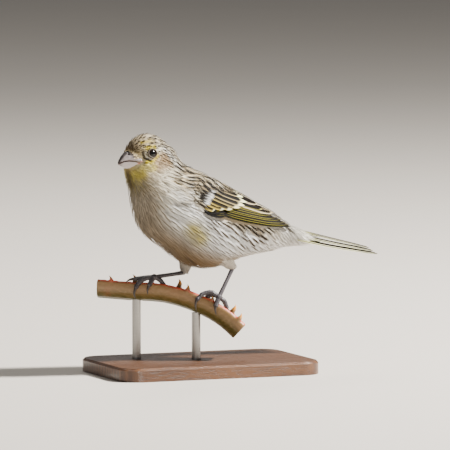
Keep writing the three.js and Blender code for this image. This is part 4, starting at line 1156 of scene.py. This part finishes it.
for side_name, side, seed in (("left", -1, 7), ("right", 1, 19)):
    mirrored = np.array([1, -side, 1.0])
    vary = np.random.default_rng(seed)
    for tier, count, tier_roots, tier_tips, half, levels, rounding, ground, fringe, tip, narrow in TIERS:
        share = np.linspace(0, 1, count)
        spread_share = share**1.25 if tier == "primaries" else share
        root_ab = along_row(tier_roots, share[:, None])
        tip_ab = along_row(tier_tips, np.stack([spread_share, share], -1))
        if tier == "greater_coverts":
            ways = [np.interp(share, GREATER_REACH[0], reached) for reached in GREATER_REACH[1:]]
            tip_ab = np.stack(ways, -1)
        tip_ab = tip_ab + vary.normal(0, (0.22, 0.1), (count, 2))
        t = VANE_DOWN
        q = VANE_ACROSS
        length_ab = (tip_ab - root_ab)[:, None, None]
        long = np.linalg.norm(tip_ab - root_ab, axis=-1)
        wide = half * vane_width(t, rounding)
        bow = 0.35 * np.sin(math.pi * t) * vary.uniform(0.4, 1.2, count)[:, None, None]
        a = root_ab[:, None, None, 0] + length_ab[..., 0] * t - 0.3 * half * q**2 * eased(t, rounding, 1.0)
        b = root_ab[:, None, None, 1] + length_ab[..., 1] * t + q * wide - bow
        low, high = levels
        lying = BED + low + (high - low) * share[:, None, None] + 0.2 * t - 0.5 * (1 - eased(t, 0, 0.12))
        lying = lying - 0.27 * q + 0.14 * (1 - q * q) + 0.07 * np.exp(-((q / 0.07) ** 2))
        lying = lying + vary.normal(0, 0.03, count)[:, None, None]
        a, b, lying = np.broadcast_arrays(a, b, lying)
        grid_at = on_wing(a, b, lying)
        outs = outward(grid_at)
        q_all = np.broadcast_to(q, a.shape)
        t_all = np.broadcast_to(t, a.shape)
        chance = np.broadcast_to(vary.random(count)[:, None, None], a.shape)
        colours = vane_colours(q_all, t_all, chance, ground, fringe, tip, narrow)
        if tier == "primaries":
            colours[0] *= 0.35
        if tier == "greater_coverts":
            lowest = np.clip(1.5 - np.arange(count) / 3.0, 0, 1)[:, None, None, None]
            olive = vane_colours(
                q_all, t_all, chance, (44, 38, 26), (190, 172, 96), (236, 228, 196), narrow=0.24
            )
            colours = colours + (olive - colours) * lowest
            bar = eased(t_all + 0.06 * q_all**2, 0.82, 0.88)[..., None]
            tip_shade = np.array(linear(*COVERT_TIP)) * (1 - 0.3 * lowest) * (1, 1, 0.8)
            colours = colours + (tip_shade - colours) * bar
        vanes(f"{tier}_{side_name}", grid_at * mirrored, outs * mirrored, q_all, t_all, long, half, colours)
    for tier, count, tier_roots, tier_tips, half, level_up, *looks in SMALL_COVERTS:
        share = np.linspace(0, 1, count) + vary.normal(0, 0.012, count)
        root_ab = along_row(tier_roots, share[:, None])
        tip_ab = along_row(tier_tips, share[:, None]) + vary.normal(0, 0.3, (count, 2))
        t = steps[:, None]
        q = edges
        length_ab = (tip_ab - root_ab)[:, None, None]
        a = root_ab[:, None, None, 0] + length_ab[..., 0] * t
        b = root_ab[:, None, None, 1] + length_ab[..., 1] * t + q * half
        lying = BED + level_up + 0.3 * t - 0.7 * (1 - eased(t, 0, 0.4)) - 0.2 * q - 0.1 * q**2
        lying = lying + vary.normal(0, 0.05, count)[:, None, None]
        a, b, lying = np.broadcast_arrays(a, b, lying)
        covert_patch = on_wing(a, b, lying)
        long = np.linalg.norm(tip_ab - root_ab, axis=-1)
        fans(
            f"{tier}_{side_name}", covert_patch * mirrored, outward(covert_patch) * mirrored, long, half, 41,
            vary, soft_covert_colours(*looks), 0.1 + 0.8 * root_ab / (30, 18),
        )
for side_name in ("left", "right"):
    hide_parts(f"wing_{side_name}")

# The tail. Twelve long feathers in pairs, the middle pair on top and each next pair under it, fanned a
# little and notched at the end, with soft coverts over and under their roots.
TAIL_ROOT = np.array([27, 0, -4.2])
TAIL_SLOPE = math.radians(12.6)
TAIL_LENGTH = 46.4


def on_tail(along, across, up):
    """Points from places along the tail, to its right and up from it."""
    back = along * math.cos(TAIL_SLOPE) + up * math.sin(TAIL_SLOPE)
    risen = up * math.cos(TAIL_SLOPE) - along * math.sin(TAIL_SLOPE)
    return TAIL_ROOT + np.stack([back, across, risen], -1)


tail_sheets = []
tail_outs = []
tail_colours = []
tail_lengths = []
tail_halves = []
t = VANE_DOWN
q = VANE_ACROSS
for k in (5, 4, 3, 2, 1, 0):
    for side in (-1, 1):
        under_top = (0, 0.5, 1.75, 2.25, 3.5, 4.0)[k]
        root = np.array([0, 0.9 + 0.7 * under_top, 3.1 - 0.95 * under_top])
        reached = TAIL_LENGTH - 4 + 0.8 * k + draw.normal(0, 0.12)
        tip = np.array([reached, 1.3 + 0.9 * under_top, 1.6 - 0.52 * under_top])
        lean = math.radians(7 + 1.5 * k) * side
        half = 2.5 - 0.08 * k
        line = root + (tip - root) * t[..., None]
        inner = np.where(q * side < 0, 1.0, 0.86)
        wide = half * vane_width(t, 0.9) * inner * q
        away_tip = 0.5 * half * eased(t, 0.86, 1) * (np.abs(q) ** 2) * np.where(q * side < 0, 0.9, 0.2)
        along = line[..., 0] - away_tip
        across_tail = line[..., 1] * side + wide * math.cos(lean) + 0.5 * side * np.sin(math.pi * t / 2) * t
        up = line[..., 2] - 0.28 * under_top * np.sin(math.pi * t**0.8) - wide * math.sin(lean)
        up = up - 0.12 * q**2 + 0.08 * np.exp(-((q / 0.07) ** 2))
        along, across_tail, up = np.broadcast_arrays(along, across_tail, up)
        tail_sheets.append(on_tail(along, across_tail, up))
        out = np.array([math.sin(TAIL_SLOPE), math.sin(lean), math.cos(TAIL_SLOPE)])
        tail_outs.append(np.tile(unit(out), (*along.shape, 1)))
        chance = np.full(along.shape, draw.random())
        toward_edge = np.broadcast_to(-q * side, along.shape)
        t_all = np.broadcast_to(t, along.shape)
        paleness = (0.09, 0.3, 0.11, 0.3, 0.12, 0.3)[k]
        web = vane_colours(
            toward_edge, t_all, chance, (44, 39, 31), (232, 229, 204), (150, 144, 122), paleness, 0.965
        )
        web = laid_over(web, (206, 205, 150), 0.75 * (1 - eased(t_all, 0.16, 0.46)))
        tail_colours.append(web * (1 - 0.45 * eased(t_all, 0.7, 1))[..., None])
        tail_lengths.append(np.linalg.norm(tip - root))
        tail_halves.append(half)
tail_sheets = np.array(tail_sheets)
tail = vanes(
    "tail_feathers", tail_sheets, np.array(tail_outs), np.broadcast_to(q, tail_sheets.shape[:3]),
    np.broadcast_to(t, tail_sheets.shape[:3]), tail_lengths, tail_halves, np.array(tail_colours),
)
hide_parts("tail")


def tail_covert_colours(shade, streaked):
    """Pale coverts, yellower towards the tail, with a dusky shaft."""

    def colouring(points, station, along, across, chance):
        past_root = (points - TAIL_ROOT) @ (math.cos(TAIL_SLOPE), 0, -math.sin(TAIL_SLOPE))
        colour = laid_over(all_over(shade, points), (214, 212, 156), 0.8 * eased(past_root, 3, 14))
        shaft = np.exp(-((across / 0.25) ** 2)) * streaked * eased(along, 0.3, 0.6)
        colour = laid_over(colour, (92, 86, 66), shaft)
        return colour * (0.86 + 0.28 * chance)[:, None]

    return colouring


for over, row_name, rows, streaked in ((1, "tail_coverts_over", 5, 0.45), (-1, "tail_coverts_under", 6, 0.1)):
    patches = []
    outs = []
    lengths = []
    unwrap_at = []
    for row in range(rows):
        for place in np.linspace(-1, 1, 9):
            wide = place * (4.3 - 0.25 * row)
            long = draw.uniform(9, 11) + (4 if over < 0 else 2) - abs(place) * 3.5
            start = -2.5 + 2.6 * row
            t = steps[:, None]
            q = edges
            across_tail = wide * (1 - 0.35 * t) + q * 1.35
            round_root = 0.55 * place * place + 0.1 * np.abs(q)
            lying = 3.7 - 0.25 * row - round_root * 3.0 - 1.6 * t
            lying = np.where(over > 0, lying, -(lying + 0.7 - 0.9 * t))
            along, across_tail, up = np.broadcast_arrays(start + long * t, across_tail, lying)
            patches.append(on_tail(along, across_tail, up))
            out = np.array([math.sin(TAIL_SLOPE), 0.5 * place * over, math.cos(TAIL_SLOPE)]) * over
            outs.append(np.tile(unit(out), (5, 3, 1)))
            lengths.append(long)
            unwrap_at.append((0.1 + 0.2 * row / rows + 0.3 * (over > 0), 0.5 + 0.4 * place))
    shade = (222, 219, 200) if over > 0 else (240, 237, 229)
    fans(
        row_name, np.array(patches), np.array(outs), lengths, 1.35, 23, draw,
        tail_covert_colours(shade, streaked), np.array(unwrap_at),
    )

# The eyes. A dark glossy ball in each side of the head, with a dark brown iris hardly lighter than its pupil,
# held by a ring of two bare lids.
EYE_RADIUS = 2.5
eye_finish = Finish("eye", 0.12, Specular_IOR_Level=0.12, Coat_Weight=0.42, Coat_Roughness=0.03)
from_pupil = eye_finish.attribute("pupil")
iris_grain = eye_finish.noise(eye_finish.place(), 1800.0)
iris = eye_finish.mix(iris_grain, linear(24, 15, 9), linear(40, 25, 14))
past_pupil = eye_finish.ramp(from_pupil, 0.52, 0.6)
eye_finish.feed("Base Color", eye_finish.mix(past_pupil, (0.004, 0.004, 0.004), iris))
lid_finish = Finish("lid_skin", 0.6)
lid_grain = lid_finish.noise(lid_finish.place(), 3000.0, detail=4.0)
lid_finish.feed("Base Color", lid_finish.mix(lid_grain, linear(44, 37, 30), linear(84, 72, 56)))
lid_finish.bump(lid_grain, 0.0001)
for side_name, side in (("left", -1), ("right", 1)):
    inside = np.array([-39.9, 0, 33.8])
    way = np.array([-0.2, side, 0.06])
    reach = 0.0
    for _ in range(60):
        reach -= float(height(inside + way * reach)) * 0.6
    seat = inside + way * reach
    out = outward(seat, step=1.2)
    faced = Vector(turned(out[None], np.zeros(1), shift=False)[0])
    facing = faced.to_track_quat("Z", "Y").to_matrix().to_4x4()
    ball_form = bmesh.new()
    bmesh.ops.create_uvsphere(ball_form, u_segments=48, v_segments=32, radius=EYE_RADIUS / 1000)
    ball_height = [vertex.co.z * 1000 / EYE_RADIUS for vertex in ball_form.verts]
    middle = turned((seat + out * (0.7 - EYE_RADIUS))[None], np.zeros(1))[0]
    bmesh.ops.transform(ball_form, matrix=facing, verts=ball_form.verts)
    bmesh.ops.translate(ball_form, vec=middle, verts=ball_form.verts)
    eye = make(f"eye_ball_{side_name}", ball_form, eye_finish.material)
    write_share(eye.data, "pupil", np.arccos(np.clip(ball_height, -1, 1)))
    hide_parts(f"eye_{side_name}")
    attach(eye, "root")
    lid_form = bmesh.new()
    bmesh.ops.create_circle(lid_form, segments=12, radius=0.00028)
    bmesh.ops.scale(lid_form, vec=(1, 1.3, 1), verts=lid_form.verts)
    for vertex in lid_form.verts:
        x, y, _ = vertex.co
        vertex.co = (0.00196 + x, 0, y)
    bmesh.ops.spin(
        lid_form, geom=lid_form.edges[:], axis=(0, 0, 1), angle=2 * math.pi, steps=48, use_merge=True
    )
    bmesh.ops.recalc_face_normals(lid_form, faces=lid_form.faces)
    bmesh.ops.scale(lid_form, vec=(1.06, 1, 1), verts=lid_form.verts)
    bmesh.ops.transform(lid_form, matrix=facing, verts=lid_form.verts)
    ring_at = turned((seat - out * 0.02)[None], np.zeros(1))[0]
    bmesh.ops.translate(lid_form, vec=ring_at, verts=lid_form.verts)
    lid = make(f"lid_{side_name}", lid_form, lid_finish.material)
    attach(lid, "root")

# The bill. Two short conical halves of horn over bone, with a dark ridge and tip, pale sides, and a nostril
# on each side near its root.
bill_finish = Finish("horn", 0.4, Coat_Weight=0.3, Coat_Roughness=0.34)
horn_grain = bill_finish.noise(bill_finish.place(scale=(1, 1, 3)), 900.0, detail=4.0)
horn = bill_finish.mix(horn_grain, linear(168, 156, 156), linear(214, 204, 202))
# The ridge share holds the dark culmen and tip, plus a wide painted shade beside the culmen.
horn = bill_finish.mix(bill_finish.attribute("ridge"), horn, linear(48, 40, 38))
horn = bill_finish.mix(bill_finish.attribute("root"), horn, linear(204, 112, 74))
horn = bill_finish.mix(bill_finish.attribute("gape"), horn, linear(70, 28, 22))
# The nostril share is painted shade in the nostril's pit.
horn = bill_finish.mix(bill_finish.attribute("nostril"), horn, linear(38, 28, 24))
bill_finish.feed("Base Color", horn)
bill_finish.bump(horn_grain, 0.00006)
# Heights of its ridge, cutting edge and keel, and its half width, at places along it from the tip.
BILL_PLACES = (-54.6, -53.7, -52.3, -50.6, -48.6, -46.5)
BILL_RIDGE = (30.1, 31.6, 33.3, 34.7, 35.6, 35.9)
BILL_EDGE = (29.7, 30.1, 30.7, 31.0, 30.8, 30.2)
BILL_KEEL = (29.4, 28.8, 28.0, 27.4, 27.0, 26.9)
BILL_HALF = (0.3, 1.15, 2.1, 3.1, 4.2, 5.2)
for half_name in ("bill_upper", "bill_lower"):
    half_mesh = remeshed(half_name, merged_copy(half_name), 0.00013, 4)
    at = points_of(half_mesh)
    x = at[:, 0] + NECK_AT
    y = at[:, 1]
    ahead = x * math.cos(HEAD_TURN) + y * math.sin(HEAD_TURN) - NECK_AT
    straight = np.stack([ahead, y * math.cos(HEAD_TURN) - x * math.sin(HEAD_TURN), at[:, 2]], -1)
    ridge_line = np.interp(ahead, BILL_PLACES, BILL_RIDGE)
    edge_line = np.interp(ahead, BILL_PLACES, BILL_EDGE)
    from_ridge = straight[:, 2] - ridge_line
    # The narrow dark band at the ridge is the horn's own dark culmen. The wide soft darkening towards it is
    # painted shade, and it leaves a lighter band along the middle of the side as a painted highlight.
    ridge = np.maximum(0.95 * eased(from_ridge, -1.5, -0.2), 0.4 * eased(from_ridge, -3.4, -0.8))
    ridge = ridge * (half_name == "bill_upper")
    ridge = np.maximum(ridge, 0.8 * eased(-straight[:, 0], 52.2, 54.4))
    write_share(half_mesh, "ridge", ridge)
    near_gape = np.linalg.norm((straight - (-46.3, 0, 29.6)) * (1, 0, 1), axis=-1)
    write_share(half_mesh, "root", 0.9 * (1 - eased(near_gape, 0.8, 1.9)))
    write_share(half_mesh, "gape", 0.9 * (1 - eased(np.abs(straight[:, 2] - edge_line), 0.15, 0.55)))
    # The nostril's dark spot is painted shade in its pit.
    pit = np.linalg.norm(to_right(straight) - (-50.3, 2.2, 33.9), axis=-1)
    write_share(half_mesh, "nostril", 0.8 * (1 - eased(pit, 0.4, 0.8)))
    swell = 0.36 * eased(straight[:, 0], -52.5, -47.0) * (1 - eased(straight[:, 0], -46.4, -45.0))
    swell = swell * (1 - 0.8 * eased(straight[:, 2], 31.5, 35.0))
    straight[:, 1] *= 1 + swell
    placed = turned(straight, np.zeros(len(at)))
    half_mesh.vertices.foreach_set("co", placed.astype(np.float32).ravel())
    half_mesh.update()
    bill_piece = make(f"horn_{half_name}", half_mesh, bill_finish.material)
    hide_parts(half_name)
    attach(bill_piece, "root")

# The bristles round the bill's root. Short stiff feathers that point forwards and hide the nostrils and the
# edge of the horn.
BRISTLE_HALF = 0.34
bristle_count = 64
round_bill = draw.uniform(-1.45, 1.45, bristle_count)
bristle_long = draw.uniform(1.3, 2.3, bristle_count) * (1.1 - 0.25 * np.abs(round_bill) / 1.9)
bristle_x = (-48.2 + 1.3 * np.abs(np.sin(round_bill)) + draw.normal(0, 0.25, bristle_count))[:, None, None]
bristle_x = bristle_x - steps[:, None] * bristle_long[:, None, None]
ridge = np.interp(bristle_x, BILL_PLACES, BILL_RIDGE)
keel = np.interp(bristle_x, BILL_PLACES, BILL_KEEL)
half = np.interp(bristle_x, BILL_PLACES, BILL_HALF)
lift = 0.05 + 0.35 * steps[:, None]
round_it = round_bill[:, None, None] + edges * BRISTLE_HALF / 4.2
bristle_x, round_it = np.broadcast_arrays(bristle_x, round_it)
bristle_out = np.stack([np.zeros(bristle_x.shape), np.sin(round_it), np.cos(round_it)], -1)
beside = np.sin(round_it) * (half * (1 + 0.2 * eased(bristle_x, -51, -48)) + lift)
risen = (ridge + keel) / 2 + np.cos(round_it) * ((ridge - keel) / 2 + lift)
bristle_patch = np.stack([bristle_x, beside, risen], -1)


def bristle_colours(points, station, along, across, chance):
    """Dark and buff bristles by chance, paler towards their tips."""
    colour = blended([(0, (62, 50, 38)), (0.4, (196, 180, 146)), (1, (222, 210, 180))], chance)
    return colour * (0.7 + 0.4 * along)[:, None]


bristle_unwrap = np.stack([0.01 + 0.04 * draw.random(bristle_count), 0.5 + 0.45 * round_bill / 2.2], -1)
fans(
    "coat_bristles", bristle_patch, bristle_out, bristle_long, BRISTLE_HALF, 7, draw, bristle_colours,
    bristle_unwrap, np.zeros(bristle_count),
)

# The legs and feet. Bare scaled skin over bone, dark grey-brown, with three toes in front and one behind that
# close round the leaf's near edge. Each claw is a curved cone of dark horn.
FEET = {
    "left": {
        "joint": (0, 0.3, -31.4),
        "middle": ((-3.4, 0.2, -29.2), (-7.2, -0.7, -29.9), (-9.6, -1.5, -32.2)),
        "middle_claw": ((-10.3, -1.9, -34.6), (-10.0, -1.7, -37.4)),
        "outer": ((-0.6, -0.6, -33), (-1.2, -1.7, -35)),
        "outer_claw": ((-1.4, -2.1, -37), (-1.0, -1.8, -39)),
        "inner": ((-3.0, 1.5, -30.3), (-5.6, 2.3, -31.4)),
        "inner_claw": ((-7.0, 2.6, -33), (-7.2, 2.7, -34.6)),
        "back": ((2.2, 1.4, -33.2), (3.2, 2.2, -36.2)),
        "back_claw": ((3.9, 2.9, -38.2), (3.8, 3.4, -40.4)),
    },
    "right": {
        "joint": (-29.2, 0.2, -22.6),
        "middle": ((-32, -0.2, -22.9), (-35.2, -1.0, -24.4), (-37.2, -1.6, -27)),
        "middle_claw": ((-38, -2.0, -29.8), (-37.3, -1.8, -32.6)),
        "outer": ((-30.2, -0.7, -24), (-31.2, -1.6, -26)),
        "outer_claw": ((-32, -2.0, -28.2), (-31.9, -1.8, -30.4)),
        "inner": ((-33.4, 0.9, -23), (-37.8, 1.0, -23.6)),
        "inner_claw": ((-40.4, 0.8, -24), (-42.4, 0.2, -25.4)),
        "back": ((-26.8, 1.4, -24), (-25.2, 2.2, -26.2)),
        "back_claw": ((-24.2, 2.9, -28), (-24.0, 3.4, -29.8)),
    },
}


def from_leaf(x, y, z):
    """A point given from the left foot's place on the leaf, along its edge and in over it."""
    back = x * math.cos(LEAF_TURN) - y * math.sin(LEAF_TURN)
    return np.array([back, x * math.sin(LEAF_TURN) + y * math.cos(LEAF_TURN), z]) + LEAF_AT


def path_place(points, path):
    """How far along a path of points each point lies, and how far from it."""
    best = np.full(len(points), 1e9)
    where = np.zeros(len(points))
    gone = 0.0
    for start, stop in zip(path[:-1], path[1:]):
        step = stop - start
        share = np.clip((points - start) @ step / (step @ step), 0, 1)
        away = np.linalg.norm(points - start - share[:, None] * step, axis=-1)
        where = np.where(away < best, gone + share * np.linalg.norm(step), where)
        best = np.minimum(best, away)
        gone += np.linalg.norm(step)
    return where, best


leg_finish = Finish("leg_scales", 0.42)
scute = (leg_finish.attribute("along") * (2 * math.pi / 0.95)).maths("SINE")
scute_edge = leg_finish.ramp(scute, 0.72, 0.98)
leg_grain = leg_finish.noise(leg_finish.place(), 2600.0, detail=3.0)
leg_tone = leg_finish.mix(leg_grain, linear(46, 42, 45), linear(82, 77, 82))
leg_tone = leg_finish.mix(scute_edge * 0.6, leg_tone, linear(32, 27, 26))
leg_finish.feed("Base Color", leg_tone)
leg_finish.bump(leg_grain * 0.4 - scute_edge, 0.00012)
claw_finish = Finish("claw_horn", 0.3)
claw_grain = claw_finish.noise(claw_finish.place(), 2200.0)
claw_finish.feed("Base Color", claw_finish.mix(claw_grain, linear(30, 25, 23), linear(66, 54, 48)))
for side_name, toes in FEET.items():
    joint = from_leaf(*toes["joint"])
    paths = [np.array([np.array(LEGS[side_name]["ankle"], float), joint])]
    for toe in ("middle", "outer", "inner", "back"):
        paths.append(np.array([joint, *(from_leaf(*p) for p in toes[toe] + toes[f"{toe}_claw"])]))
        knuckle = from_leaf(*toes[toe][-1])
        before = knuckle + (from_leaf(*toes[toe][-2]) - knuckle) * 0.12
        claw_line = [before, knuckle, *(from_leaf(*p) for p in toes[f"{toe}_claw"])]
        claw = tube(f"claw_{toe}_{side_name}", claw_line, (0.6, 0.78, 0.5, 0.12), claw_finish)
        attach(claw, "root")
    for node_name in (f"tarsus_{side_name}", f"foot_{side_name}"):
        leg_form = merged_copy(node_name)
        leg_form.normal_update()
        knuckles = np.concatenate(paths[1:])
        form_at = np.array([vertex.co for vertex in leg_form.verts]) * 1000 - BIRD_AT
        toe_found = np.array([path_place(form_at, path) for path in paths[1:]])
        own_toe = toe_found[:, 1].argmin(0)
        for vertex, place, toe_number in zip(leg_form.verts, form_at, own_toe):
            near_knuckle = np.linalg.norm(knuckles - place, axis=-1).min()
            swelling = 0.4 + 0.34 * math.exp(-((near_knuckle / 0.8) ** 2))
            vertex.co += vertex.normal * (0.00018 if node_name.startswith("tarsus") else swelling / 1000)
            path = paths[1 + toe_number]
            runs = runs_along(path)
            gone = toe_found[toe_number, 0, vertex.index]
            in_claw = float(eased(np.array(gone - runs[-3]), 0.3, 0.8)) * node_name.startswith("foot")
            core = Vector((read_off(gone, runs, path) + BIRD_AT) / 1000)
            vertex.co = vertex.co.lerp(core, 0.75 * in_claw)
        leg_mesh = remeshed(node_name, leg_form, 0.00015, 2)
        at = points_of(leg_mesh)
        found = np.array([path_place(at, path) for path in paths])
        nearest = found[:, 1].argmin(0)
        write_share(leg_mesh, "along", found[nearest, 0, np.arange(len(at))])
        leg_piece = make(f"scaled_{node_name}", leg_mesh, leg_finish.material)
        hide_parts(node_name)
        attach(leg_piece, "root")
